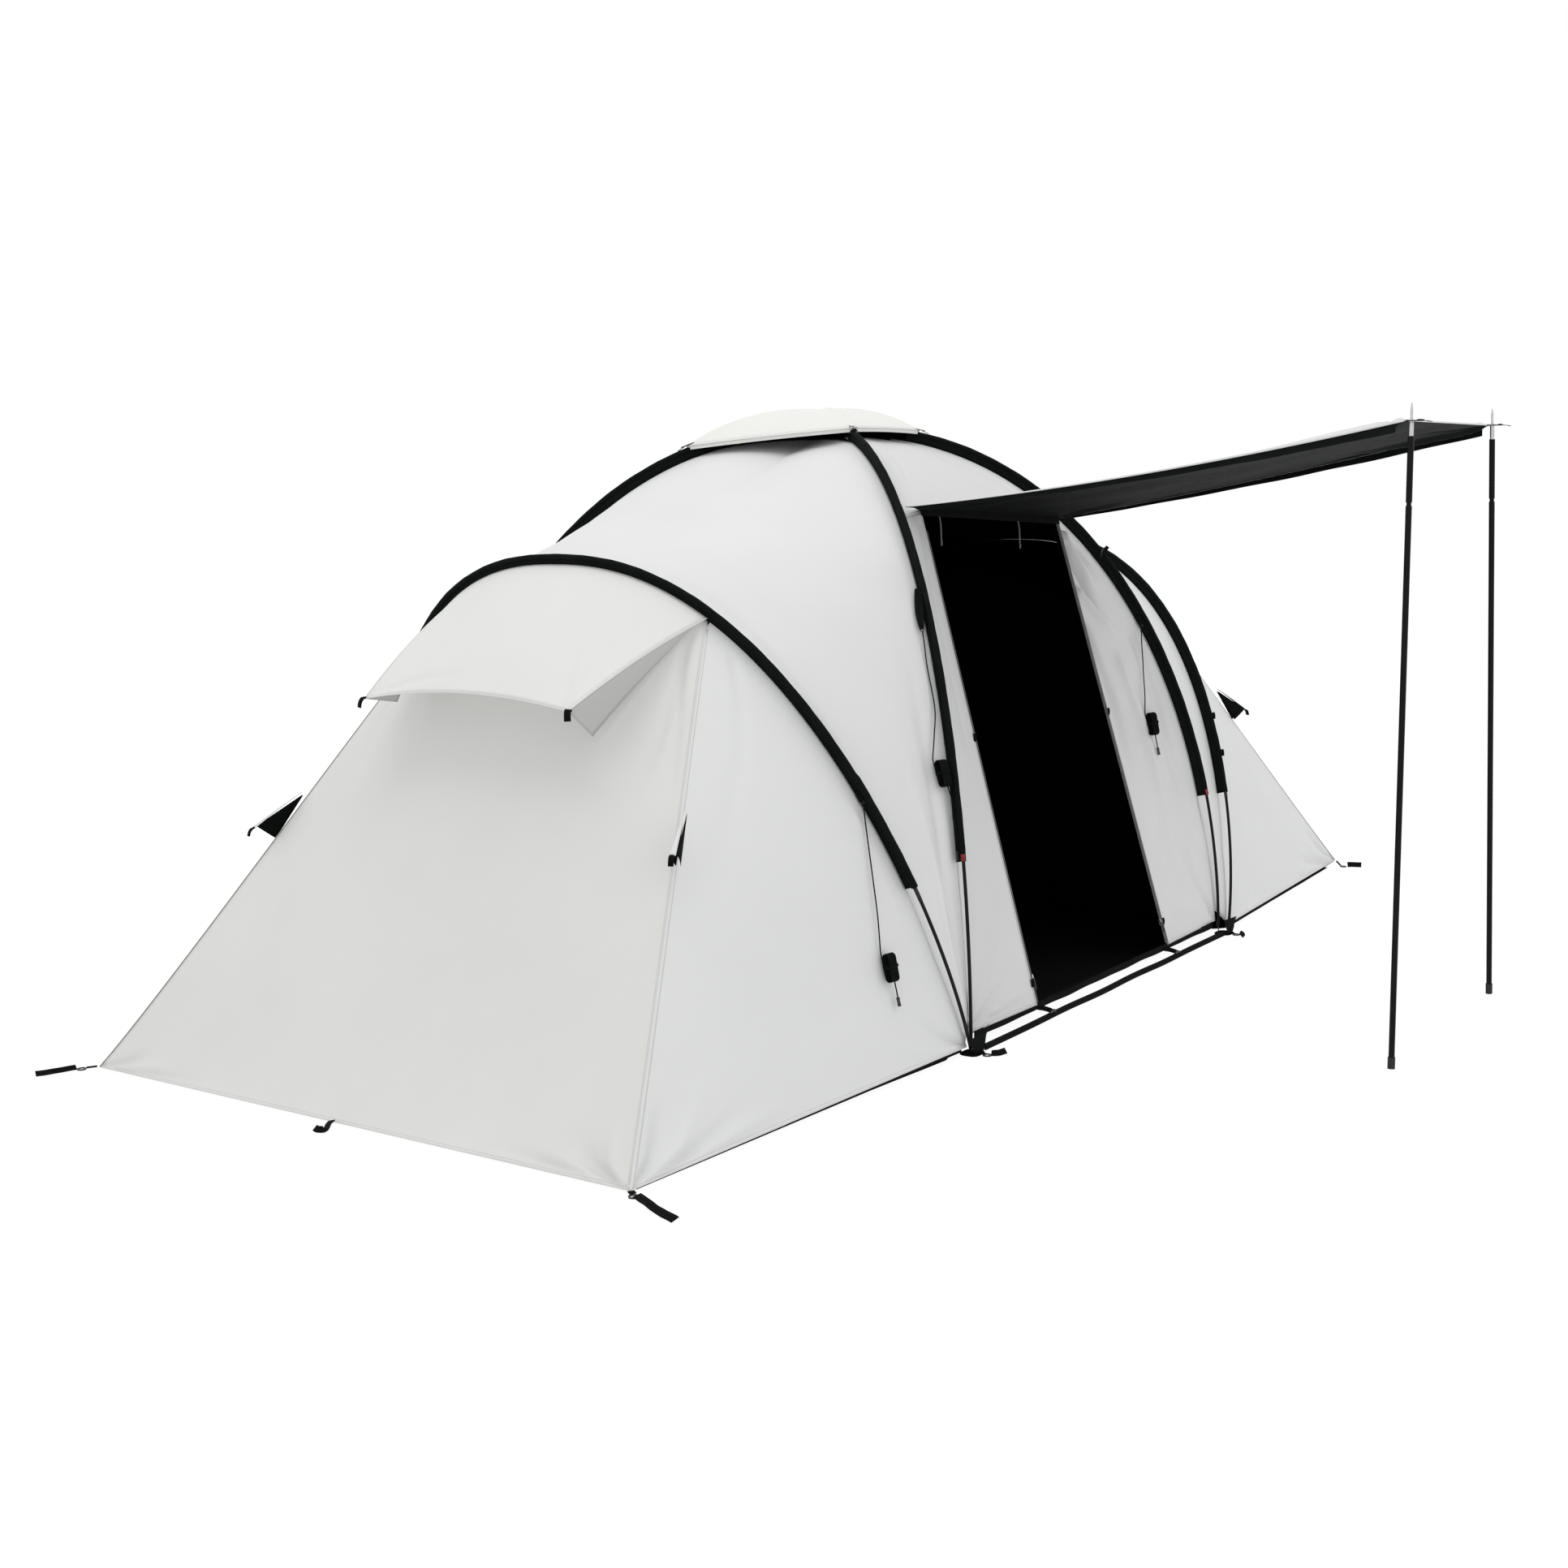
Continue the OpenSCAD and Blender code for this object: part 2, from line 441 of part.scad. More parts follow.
// ---- hems, straps and floor ----------------------------------------------------------
hem_h = 26;
module hem_bands() {
    hz = cross_skin(-88.5, 1)[2];
    color(black) tent() {
        for (f = [-1, 1]) translate([-930, f < 0 ? -1141 : 1139, hz - hem_h - 3]) cube([1860, 2, hem_h]);
        // thin dark edge under the bedroom side hems
        for (c = [0:3]) {
            e = c < 2 ? -1 : 1;
            f = c % 2 == 0 ? -1 : 1;
            a = at_corner(side_pt(1, 0.04, c) - [0, 0, 4], e, f);
            b = at_corner(side_pt(1, 0.97, c) - [0, 0, 4], e, f);
            u = unit(b - a);
            v = unit(cross(u, [0, 0, 1]));
            w = e * f > 0 ? 0 : 2;
            loft([ring_at(a, v, [0, 0, 1], [[w, 0], [w - 2, 0], [w - 2, -14], [w, -14]]),
                ring_at(b, v, [0, 0, 1], [[w, 0.5], [w - 2, 0.5], [w - 2, -1.5], [w, -1.5]])]);
        }
    }
}
strap_y = 1180;
module ground_straps() {
    color(black) tent() for (f = [-1, 1]) mirror([0, f > 0 ? 1 : 0, 0]) {
        translate([-950, -strap_y - 1, 6]) cube([1900, 2, 24]);
        // short straps up to the hem at the door's corners, each with its toggle
        for (x = [-520, 470]) {
            ribbon([[x, -1146, 38], [x + 14, -1160, 34.5], [x + 24, -strap_y - 1, 31]], [0, 0, 1], 14, 2);
            translate([x + 24, -strap_y - 7, 27]) rotate([0, 90, 0]) cylinder(h = 34, r = 4.5, center = true, $fn = 24);
        }
    }
}
module groundsheet() {
    color([0.12, 0.12, 0.13]) tent() linear_extrude(3)
        polygon([[-2490, -1034], [-1080, -1136], [-1042, -1105], [1042, -1105], [1080, -1136], [2490, -1034],
            [2490, 1034], [1080, 1136], [1042, 1105], [-1042, 1105], [-1080, 1136], [-2484, 1012]]);
}

// ---- inner bedrooms ------------------------------------------------------------------
// each is sewn from flat panels; g is the gap left along every seam
cabin_x = 1060;
// profiles of one half, from the floor up: at the door wall, over the mats, at the low end
cabin_a = [[1010, 4], [985, 480], [740, 1030], [390, 1310], [0, 1400]];
cabin_b = [[990, 4], [930, 440], [680, 990], [330, 1270], [0, 1335]];
cabin_c = [[930, 4], [860, 170]];
function on_a(i) = [-cabin_x - 3.2, -cabin_a[i][0], cabin_a[i][1]];
function on_b(i) = [-1400, -cabin_b[i][0], cabin_b[i][1]];
function on_c(i) = [-2230, -cabin_c[i][0], cabin_c[i][1]];
// flat panel with 3 or 4 corners, drawn in by 0.4 at its edges
module cloth_panel(P) {
    n = len(P);
    nn = unit(cross(P[1] - P[0], P[n - 1] - P[0]));
    Q = [for (j = [0:n - 1]) let (a = unit(P[(j + 1) % n] - P[j]), b = unit(P[(j + n - 1) % n] - P[j])) P[j] + (a + b) * 0.8];
    pts = concat(Q, [for (q = Q) q + nn * 2.2]);
    polyhedron(pts, n == 3
        ? [[0, 1, 2], [5, 4, 3], [0, 3, 4], [0, 4, 1], [1, 4, 5], [1, 5, 2], [2, 5, 3], [2, 3, 0]]
        : [[0, 1, 2], [0, 2, 3], [6, 5, 4], [7, 6, 4], [0, 4, 5], [0, 5, 1], [1, 5, 6], [1, 6, 2], [2, 6, 7], [2, 7, 3], [3, 7, 4], [3, 4, 0]]);
}
module door_shape(g) {
    translate([-330, 90]) union() {
        translate([g, g]) square([700 - 2 * g, 700 - g]);
        translate([350, 700]) circle(r = 350 - g, $fn = 64);
    }
}
module door_wall() {
    translate([-cabin_x, 0, 0]) rotate([90, 0, -90]) linear_extrude(2.5) difference() {
        polygon([[-1009, 5], [1009, 5], [984, 480], [739, 1029], [390, 1309], [0, 1399], [-390, 1309], [-739, 1029], [-984, 480]]);
        door_shape(0);
        for (x = [-330, 370]) translate([x - 0.3, 0]) square([0.6, 1400]);
        translate([19.7, 1000]) square([0.6, 500]);
    }
}
module cabin() {
    color([0.16, 0.16, 0.17]) {
        door_wall();
        translate([0, 0, 3.6]) linear_extrude(2.2) polygon([[-cabin_x - 3.2, -1004], [-1400, -984], [-2226, -924], [-2226, 924], [-1400, 984], [-cabin_x - 3.2, 1004]]);
        for (f = [0, 1]) mirror([0, f, 0]) {
            for (i = [0:3]) cloth_panel([on_a(i) + [0, 0, i == 0 ? 3 : 0], on_a(i + 1), on_b(i + 1), on_b(i) + [0, 0, i == 0 ? 3 : 0]]);
            cloth_panel([on_b(0) + [0, 0, 3], on_b(1), on_c(1), on_c(0) + [0, 0, 3]]);
            for (i = [1:3]) cloth_panel([on_b(i), on_b(i + 1), on_c(1)]);
        }
        cloth_panel([on_b(4), flip(on_c(1), 1, -1), on_c(1)]);
        cloth_panel([on_c(0) + [0, 0, 3], on_c(1), flip(on_c(1), 1, -1), flip(on_c(0), 1, -1) + [0, 0, 3]]);
    }
}
module cabin_door() {
    color([0.2, 0.2, 0.21]) translate([-cabin_x - 0.2, 0, 0]) rotate([90, 0, -90]) linear_extrude(2.2) door_shape(4);
}
module bedroom_left() { tent() cabin(); }
module bedroom_right() { tent() mirror([1, 0, 0]) cabin(); }
module bedroom_left_door() { tent() cabin_door(); }
module bedroom_right_door() { tent() mirror([1, 0, 0]) cabin_door(); }

// ---- door zips and ties --------------------------------------------------------------
// frame on a door seam: local z runs up the seam, local x points into the doorway
module on_seam(e, up) {
    a = e < 0 ? door_bl : door_br;
    b = e < 0 ? door_tl : door_tr;
    d = unit(b - a);
    translate(a + d * up) rotate([-asin(d[1]), atan2(d[0], d[2]), 0]) mirror([e > 0 ? 1 : 0, 0, 0]) children();
}
zip_l = 1590;
module door_zip_tapes() {
    color([0.35, 0.35, 0.36]) tent() for (e = [-1, 1]) on_seam(e, 8) translate([1, -0.6, 0]) {
        cube([11, 1.2, zip_l]);
        translate([9, -0.5, 0]) cube([3, 2.2, zip_l]);
    }
}
slider_up = 78;
module zip_slider(e) {
    on_seam(e, slider_up) {
        difference() {
            translate([5, -3.4, 0]) cube([11, 6.6, 22]);
            translate([0, -1.7, -1]) cube([13.6, 3.3, 24]);
        }
        translate([7, -5, 4]) cube([5, 2, 6]);
        translate([5.5, -7, -30]) cube([8, 2.2, 44]);
    }
}
module zip_slider_left() { color(black) tent() zip_slider(-1); }
module zip_slider_right() { color(black) tent() zip_slider(1); }
// loops that hold the rolled door, hanging from its head
module door_ties() {
    color(grey) tent() for (x = [-345, 175]) let (p = lerp(door_tl, door_tr, (x - door_tl[0]) / (door_tr[0] - door_tl[0])) + [0, -6, -6])
        ribbon([p, p + [-2, -7, -30], p + [-4, -10, -70], p + [-5, -11, -100]], [0, -1, 0], 8, 1.6);
}

// ---- awning: the door panel on its two poles --------------------------------------------
head_l = [-awning_in, -656, head_z + 20];
head_r = [awning_in, -698, head_z - 35];
awning_top = [409, -2276];      // top of a pole, just outside the awning's corner
awning_feet = [[-490, -2296], [562, -2285]];
function awning_pt(u, v) = lerp(lerp(head_l, head_r, (u + 1) / 2), [u * awning_out, -awning_y, awning_z], v)
    - [0, 0, lerp(24, 14, (u + 1) / 2) * 4 * v * (1 - v)];
module awning() {
    color(white) tent() {
        shell([for (v = [1:-0.125:0]) [for (u = [-1:0.25:1]) awning_pt(u, v)]], 2.5);
        // hem strips that hang along both sides
        for (e = [-1, 1]) loft([for (v = [0.04, 0.2, 0.36, 0.52, 0.68, 0.84, 0.985]) let (h = lerp(8, 26, v))
            ring_at(awning_pt(e * 0.992, v) - [0, 0, 4], [1, 0, 0], [0, 0, 1], [[0.8, 0], [0.8, -h], [-0.8, -h], [-0.8, 0]])]);
    }
}
// direction of a pole from its foot, and how much longer it is than its height
function foot_of(e) = awning_feet[e < 0 ? 0 : 1];
function pole_dir(e) = [e * awning_top[0] - foot_of(e)[0], awning_top[1] - foot_of(e)[1], 1843];
function longer(e) = norm(pole_dir(e)) - 1843;
// middle of the spike at height z
function spike_at(e, z) = [foot_of(e)[0], foot_of(e)[1], 0] + pole_dir(e) * z / 1843;
// webbing tab with the hole for the spike; it swivels at the awning's edge
module pole_tab(e) {
    c = spike_at(e, awning_z - 1);
    color(black) tent() translate([c[0], c[1], awning_z - 2.5]) {
        difference() {
            translate([-20, -30, 0]) cube([40, 30 - c[1] - awning_y - 1.6, 3]);
            translate([0, 0, -1]) cylinder(h = 5, r = 6, $fn = 48);
        }
        translate([-10, -59, 0.5]) cube([20, 28.7, 2]);
    }
}
module awning_pole_left_tab() { pole_tab(-1); }
module awning_pole_right_tab() { pole_tab(1); }
// pole pieces are drawn upright and leaned from the foot to the top
module lean_up(e) {
    d = pole_dir(e);
    translate([foot_of(e)[0], foot_of(e)[1], 0])
        rotate([0, acos(d[2] / norm(d)), atan2(d[1], d[0])]) children();
}
neck_z = 1645;
ra = awning_pole_d / 2;
module pole_upper(e) {
    color(black) tent() lean_up(e) translate([0, 0, longer(e)]) difference() {
        union() {
            translate([0, 0, neck_z + 10]) cylinder(h = 188, r = ra, $fn = 48);
            translate([0, 0, neck_z - 60]) cylinder(h = 75, r = ra - 2, $fn = 48);
        }
        translate([0, 0, neck_z + 150]) cylinder(h = 60, r = 4.2, $fn = 48);
    }
}
module pole_lower(e) {
    color(black) tent() lean_up(e) difference() {
        translate([0, 0, 9.4]) cylinder(h = neck_z + longer(e) - 9.4, r = ra, $fn = 48);
        translate([0, 0, 5]) cylinder(h = neck_z + longer(e), r = ra - 1.6, $fn = 48);
    }
}
// steel spike: a stem in the pole, a thick neck, a collar in the tab's hole and the point
module pole_spike(e) {
    color([0.75, 0.75, 0.76]) tent() lean_up(e) translate([0, 0, longer(e)]) {
        translate([0, 0, neck_z + 152]) cylinder(h = 50, r = 4, $fn = 48);
        translate([0, 0, 1843.4]) cylinder(h = 40.6, r = 7, $fn = 48);
        translate([0, 0, 1883]) cylinder(h = 8.5, r = 5, $fn = 48);
        translate([0, 0, 1890]) cylinder(h = 30, r = 4, $fn = 48);
        translate([0, 0, 1920]) cylinder(h = 18, r1 = 4, r2 = 1.5, $fn = 48);
    }
}
module pole_foot(e) {
    color([0.03, 0.03, 0.03]) tent() lean_up(e) difference() {
        translate([0, 0, 1.1]) cylinder(h = 34, r = ra + 2, $fn = 48);
        translate([0, 0, 9.2]) cylinder(h = 40, r = ra + 0.2, $fn = 48);
    }
}
module awning_pole_left_upper() { pole_upper(-1); }
module awning_pole_left_lower() { pole_lower(-1); }
module awning_pole_left_spike() { pole_spike(-1); }
module awning_pole_left_foot() { pole_foot(-1); }
module awning_pole_right_upper() { pole_upper(1); }
module awning_pole_right_lower() { pole_lower(1); }
module awning_pole_right_spike() { pole_spike(1); }
module awning_pole_right_foot() { pole_foot(1); }

// ---- stored guy lines ------------------------------------------------------------------
// each hangs from a webbing tab and lies on the fabric, wound into a hank with a short tail
line_arch = [[-1279, -962, 802], [-1286, -975, 735], [-1297, -992, 668], [-1313, -1014, 590], [-1335, -1044, 478], [-1354, -1064, 382]];
line_cross = [[-773, -868, 1272], [-785, -882, 1232], [-808, -905, 1165], [-848, -955, 1043], [-887, -976, 965], [-925, -992, 893]];
line_right = [[748, -916, 1190], [737, -923, 1130], [727, -932, 1080], [714, -942, 1017], [698, -956, 940], [682, -964, 880]];
tail_cross = [[-898, -1032, 798], [-908, -1051, 765], [-917, -1062, 720], [-925, -1074, 660], [-932, -1082, 618]];
// place, lean and turn of each hank
hank_arch = [[-1340, -1091, 333], 14.5, -9.5];
hank_cross = [[-914, -1023, 849], 19, -14];
hank_right = [[693, -991, 834], 14.5, -14.5];
cord_r = 2;
module cord(P, up) {
    m = len(P) - 1;
    loft([for (i = [0:m * 4]) let (t = i / 4, a = min(m - 1, floor(t)), f = t - a,
        c = lerp(P[a], P[a + 1], f), d = unit(P[a + 1] - P[a]), u = unit(cross(d, up)))
        ring_at(c, u, cross(d, u), circle_prof(cord_r, 8))]);
}
// frame of a hank: x along the fabric, y into it, z up it
module at_hank(h) { translate(h[0]) rotate([0, 0, h[2]]) rotate([-h[1], 0, 0]) children(); }
// turns of cord, 40 wide in all
module hank(h) {
    at_hank(h) translate([-20, 0, 0]) rotate([90, 0, 90]) linear_extrude(40) union() {
        square([28, 58], center = true);
        translate([0, 29]) circle(r = 14, $fn = 40);
        translate([0, -29]) circle(r = 14, $fn = 40);
    }
}
module tail(h) { at_hank(h) translate([17, 12, -88]) cylinder(h = 42, r = cord_r, $fn = 16); }
module guy_line_arch() { color(black) tent() { cord(line_arch, [0, -1, 0]); tail(hank_arch); } }
module guy_line_cross() { color(black) tent() { cord(line_cross, [0, -1, 0]); cord(tail_cross, [0, -1, 0]); } }
module guy_line_right() { color(black) tent() { cord(line_right, [0, -1, 0]); tail(hank_right); } }
module guy_hank_arch() { color(black) tent() hank(hank_arch); }
module guy_hank_cross() { color(black) tent() hank(hank_cross); }
module guy_hank_right() { color(black) tent() hank(hank_right); }
module guy_tabs() {
    color(black) tent() {
        ribbon([[-1279, -942, 834], [-1278, -949, 820], [-1279, -959, 806]], [-1, 0, 0], 16, 3);
        ribbon([[-695, -808, 1401], [-718, -834, 1354], [-743, -853, 1313], [-771, -865, 1277]], [-0.87, 0.4, 0.3], 18, 2.5);
        ribbon([[756, -899, 1231], [752, -906, 1212], [748, -914, 1195]], [-0.87, -0.4, -0.3], 14, 2.5);
    }
}
// plastic runner at the end of each line
module guy_runners() {
    color(black) tent() {
        for (h = [hank_arch, hank_right]) at_hank(h) translate([11, 9, -118]) cube([12, 6, 29]);
        translate([-933, -1084, 600]) rotate([0, 0, -14]) rotate([-10, 0, 0]) translate([-6, -3, -14]) cube([12, 6, 28]);
    }
}

cross_pole_left();
cross_pole_right();
arch_pole_left();
arch_pole_right();
shock_cords();
cross_sleeve_left();
cross_sleeve_right();
arch_sleeve_left();
arch_sleeve_right();
pole_foot_pins();
pole_foot_patches();
peg_rings();
peg_straps();
front_wall();
back_wall();
left_roof();
right_roof();
left_end_wall();
right_end_wall();
left_front_side();
left_back_side();
right_front_side();
right_back_side();
roof_mesh();
roof_cap();
left_hood();
right_hood();
vent_tabs();
low_vent_cowls();
low_vent_gussets();
hem_bands();
ground_straps();
groundsheet();
bedroom_left();
bedroom_left_door();
bedroom_right();
bedroom_right_door();
door_zip_tapes();
zip_slider_left();
zip_slider_right();
door_ties();
awning();
awning_pole_left_tab();
awning_pole_right_tab();
awning_pole_left_upper();
awning_pole_left_lower();
awning_pole_left_spike();
awning_pole_left_foot();
awning_pole_right_upper();
awning_pole_right_lower();
awning_pole_right_spike();
awning_pole_right_foot();
guy_tabs();
guy_runners();
guy_line_arch();
guy_hank_arch();
guy_line_cross();
guy_hank_cross();
guy_line_right();
guy_hank_right();
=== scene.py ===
# Dome tent with two bedrooms and a propped door awning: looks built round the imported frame.
import math

import bpy
import numpy as np
from mathutils import Matrix, Vector


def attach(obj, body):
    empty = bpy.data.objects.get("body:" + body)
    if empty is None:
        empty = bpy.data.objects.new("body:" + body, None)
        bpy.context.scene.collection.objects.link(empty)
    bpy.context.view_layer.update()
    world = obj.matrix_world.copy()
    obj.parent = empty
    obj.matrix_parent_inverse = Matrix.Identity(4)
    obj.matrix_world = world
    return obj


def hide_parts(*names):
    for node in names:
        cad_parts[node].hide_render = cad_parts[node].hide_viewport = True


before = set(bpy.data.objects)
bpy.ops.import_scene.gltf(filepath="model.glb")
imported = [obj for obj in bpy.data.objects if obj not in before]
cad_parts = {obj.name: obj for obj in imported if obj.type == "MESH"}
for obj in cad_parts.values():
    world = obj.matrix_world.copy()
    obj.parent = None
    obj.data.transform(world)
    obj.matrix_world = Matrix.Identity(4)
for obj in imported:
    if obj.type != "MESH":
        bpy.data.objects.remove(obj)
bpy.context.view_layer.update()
SY = 540.0  # the tent's own middle sits this far behind the frame's origin, in mm
A = np.array


def V(*p):
    return np.array(p, float)


def out_m(P):
    """Millimetres about the tent's middle to metres in the shared frame."""
    return (np.asarray(P, float) + V(0, SY, 0)) / 1000.0


def unit(v):
    v = np.asarray(v, float)
    return v / np.maximum(np.linalg.norm(v, axis=-1, keepdims=True), 1e-12)


def lerp(a, b, t):
    return np.asarray(a, float) + (np.asarray(b, float) - np.asarray(a, float)) * t


def smooth(x):
    x = np.clip(x, 0, 1)
    return x * x * (3 - 2 * x)


# ------------------------------------------------------------------ camera
yaw, pitch, roll = 0.9671, 0.1439, -0.0154
fw = V(math.sin(yaw) * math.cos(pitch), math.cos(yaw) * math.cos(pitch), -math.sin(pitch))
rt = V(math.cos(yaw), -math.sin(yaw), 0)
up = np.cross(rt, fw)
r2 = rt * math.cos(roll) + up * math.sin(roll)
u2 = -rt * math.sin(roll) + up * math.cos(roll)
cam_data = bpy.data.cameras.new("camera")
cam_data.sensor_width = 36
cam_data.lens = 46.97
cam_data.clip_start, cam_data.clip_end = 0.05, 300
cam = bpy.data.objects.new("camera", cam_data)
bpy.context.scene.collection.objects.link(cam)
m = Matrix.Identity(4)
for row in range(3):
    m[row][0], m[row][1], m[row][2] = r2[row], u2[row], -fw[row]
m[0][3], m[1][3], m[2][3] = -6.316, -3.6131, 1.7251
cam.matrix_world = m
bpy.context.scene.camera = cam

# ------------------------------------------------------------------ the tent's lines, in mm
APEX, FX, FY = 1950.0, 969.0, 1152.0
AH, ATX, AFX, AFY = 1529.0, 1508.0, 1004.0, 1176.0
EX, EY = 2514.0, 1049.0
SLEEVE, GAP, FOOT_GAP = 30.0, 38.0, 13.0


def oval(s, p, q):
    return max(0.0, 1 - abs(s) ** p) ** (1 / q)


def cross_line(th, k):
    s = math.sin(math.radians(th))
    return V(k * s * FX, s * FY, APEX * oval(s, 2.28, 1.975))


def arch_line(th, e):
    s = math.sin(math.radians(th))
    t = oval(s, 2.34, 1.67)
    return V(e * (AFX + (ATX - AFX) * t**1.015), s * AFY, AH * t)


def cross_tan(th, k):
    return unit(cross_line(min(th + 1, 90), k) - cross_line(max(th - 1, -90), k))


def arch_tan(th, e):
    return unit(arch_line(min(th + 1, 90), e) - arch_line(max(th - 1, -90), e))


def cross_out(th, k):
    t = cross_tan(th, k)
    o = np.cross(unit([FY, -k * FX, 0]), t)
    l = V(o[0] * 0.5, o[1], o[2])
    return unit(l - t * (l @ t))


def arch_out(th, e):
    t = arch_tan(th, e)
    b = np.cross([0, 1, 0], unit([e * (ATX - AFX), 0, AH]))
    return unit(np.cross(b, t))


def fade(th):
    return min(1.0, 4 * math.cos(math.radians(th)))


def cross_mid(th, k):
    return cross_line(th, k) - cross_out(th, k) * 4 + V(0, 0, k * 8 * math.exp(-((math.sin(math.radians(th)) / 0.16) ** 2)))


def arch_mid(th, e):
    return arch_line(th, e) - arch_out(th, e) * 4


def skin_in(th):
    return FOOT_GAP + (GAP - FOOT_GAP) * fade(th)


def cross_skin(th, k):
    return cross_line(th, k) - cross_out(th, k) * skin_in(th)


def arch_skin(th, e):
    return arch_line(th, e) - arch_out(th, e) * skin_in(th)


def side_skin(th, e):
    return cross_skin(th, -e if th < 0 else e)


CT, AT, N = 89.0, 88.4, 32


def cat(P, n=8):
    """Smooth curve through points."""
    P = np.asarray(P, float)
    Q = np.vstack([2 * P[0] - P[1], P, 2 * P[-1] - P[-2]])
    out = []
    for i in range(1, len(Q) - 2):
        a, b, c, d = Q[i - 1], Q[i], Q[i + 1], Q[i + 2]
        for j in range(n):
            t = j / n
            out.append(0.5 * (2 * b + (c - a) * t + (2 * a - 5 * b + 4 * c - d) * t * t + (3 * b - a - 3 * c + d) * t**3))
    out.append(P[-1])
    return np.array(out)


# ------------------------------------------------------------------ materials
def nodes_of(name):
    mt = bpy.data.materials.new(name)
    mt.use_nodes = True
    nt = mt.node_tree
    bsdf = nt.nodes["Principled BSDF"]
    return mt, nt, bsdf


def material(name, colour, rough=0.6, metal=0.0, var=0.05, var_scale=3.0, bumps=((400, 0.12, 0.0004),),
             weave=None, rough_var=0.08, sheen=0.0, edge=False, thread=None, coat=0.0, spec=None):
    """colour: linear RGB. bumps: (noise scale, strength, depth in m). weave: (threads per metre, strength, depth)."""
    mt, nt, b = nodes_of(name)
    L = nt.links
    tc = nt.nodes.new("ShaderNodeTexCoord")
    n1 = nt.nodes.new("ShaderNodeTexNoise")
    n1.inputs["Scale"].default_value = var_scale
    n1.inputs["Detail"].default_value = 4
    L.new(tc.outputs["Object"], n1.inputs["Vector"])
    ramp = nt.nodes.new("ShaderNodeValToRGB")
    c0 = [max(0, c * (1 - var)) for c in colour]
    c1 = [min(1, c * (1 + var)) for c in colour]
    ramp.color_ramp.elements[0].position, ramp.color_ramp.elements[1].position = 0.3, 0.7
    ramp.color_ramp.elements[0].color = (*c0, 1)
    ramp.color_ramp.elements[1].color = (*c1, 1)
    L.new(n1.outputs["Fac"], ramp.inputs["Fac"])
    colour_out = ramp.outputs["Color"]
    rr = nt.nodes.new("ShaderNodeMapRange")
    rr.inputs["To Min"].default_value = max(0.02, rough - rough_var)
    rr.inputs["To Max"].default_value = min(1, rough + rough_var)
    n2 = nt.nodes.new("ShaderNodeTexNoise")
    n2.inputs["Scale"].default_value = var_scale * 9
    n2.inputs["Detail"].default_value = 3
    L.new(tc.outputs["Object"], n2.inputs["Vector"])
    L.new(n2.outputs["Fac"], rr.inputs["Value"])
    L.new(rr.outputs["Result"], b.inputs["Roughness"])
    last = None

    def bump(height, strength, depth):
        nonlocal last
        bp = nt.nodes.new("ShaderNodeBump")
        bp.inputs["Strength"].default_value = strength
        bp.inputs["Distance"].default_value = depth
        L.new(height, bp.inputs["Height"])
        if last is not None:
            L.new(last, bp.inputs["Normal"])
        last = bp.outputs["Normal"]

    for scale, strength, depth in bumps:
        n = nt.nodes.new("ShaderNodeTexNoise")
        n.inputs["Scale"].default_value = scale
        n.inputs["Detail"].default_value = 3
        L.new(tc.outputs["Object"], n.inputs["Vector"])
        bump(n.outputs["Fac"], strength, depth)
    if weave:
        per_m, strength, depth = weave
        sep = nt.nodes.new("ShaderNodeSeparateXYZ")
        L.new(tc.outputs["UV"], sep.inputs[0])
        sins = []
        for ax in ("X", "Y"):
            mu = nt.nodes.new("ShaderNodeMath")
            mu.operation = "MULTIPLY"
            mu.inputs[1].default_value = per_m * 2 * math.pi
            L.new(sep.outputs[ax], mu.inputs[0])
            si = nt.nodes.new("ShaderNodeMath")
            si.operation = "SINE"
            L.new(mu.outputs[0], si.inputs[0])
            sins.append(si)
        pr = nt.nodes.new("ShaderNodeMath")
        pr.operation = "MULTIPLY"
        L.new(sins[0].outputs[0], pr.inputs[0])
        L.new(sins[1].outputs[0], pr.inputs[1])
        bump(pr.outputs[0], strength, depth)
    if edge:
        # a felled seam: a raised strip along the panel's edge with two stitched grooves
        at = nt.nodes.new("ShaderNodeAttribute")
        at.attribute_name = "edge"
        cr = nt.nodes.new("ShaderNodeValToRGB")
        cr.color_ramp.interpolation = "EASE"
        el = cr.color_ramp.elements
        el[0].position, el[0].color = 0.0, (1, 1, 1, 1)
        el[1].position, el[1].color = 1.0, (0, 0, 0, 1)
        for pos, v in ((0.13, 1.0), (0.17, 0.35), (0.21, 1.0), (0.58, 1.0), (0.62, 0.35), (0.66, 0.95), (0.80, 0.0)):
            x = el.new(pos)
            x.color = (v, v, v, 1)
        mr = nt.nodes.new("ShaderNodeMapRange")
        mr.inputs["From Max"].default_value = 0.016
        L.new(at.outputs["Fac"], mr.inputs["Value"])
        L.new(mr.outputs["Result"], cr.inputs["Fac"])
        bump(cr.outputs["Color"], 0.8, 0.0012)
    if thread:
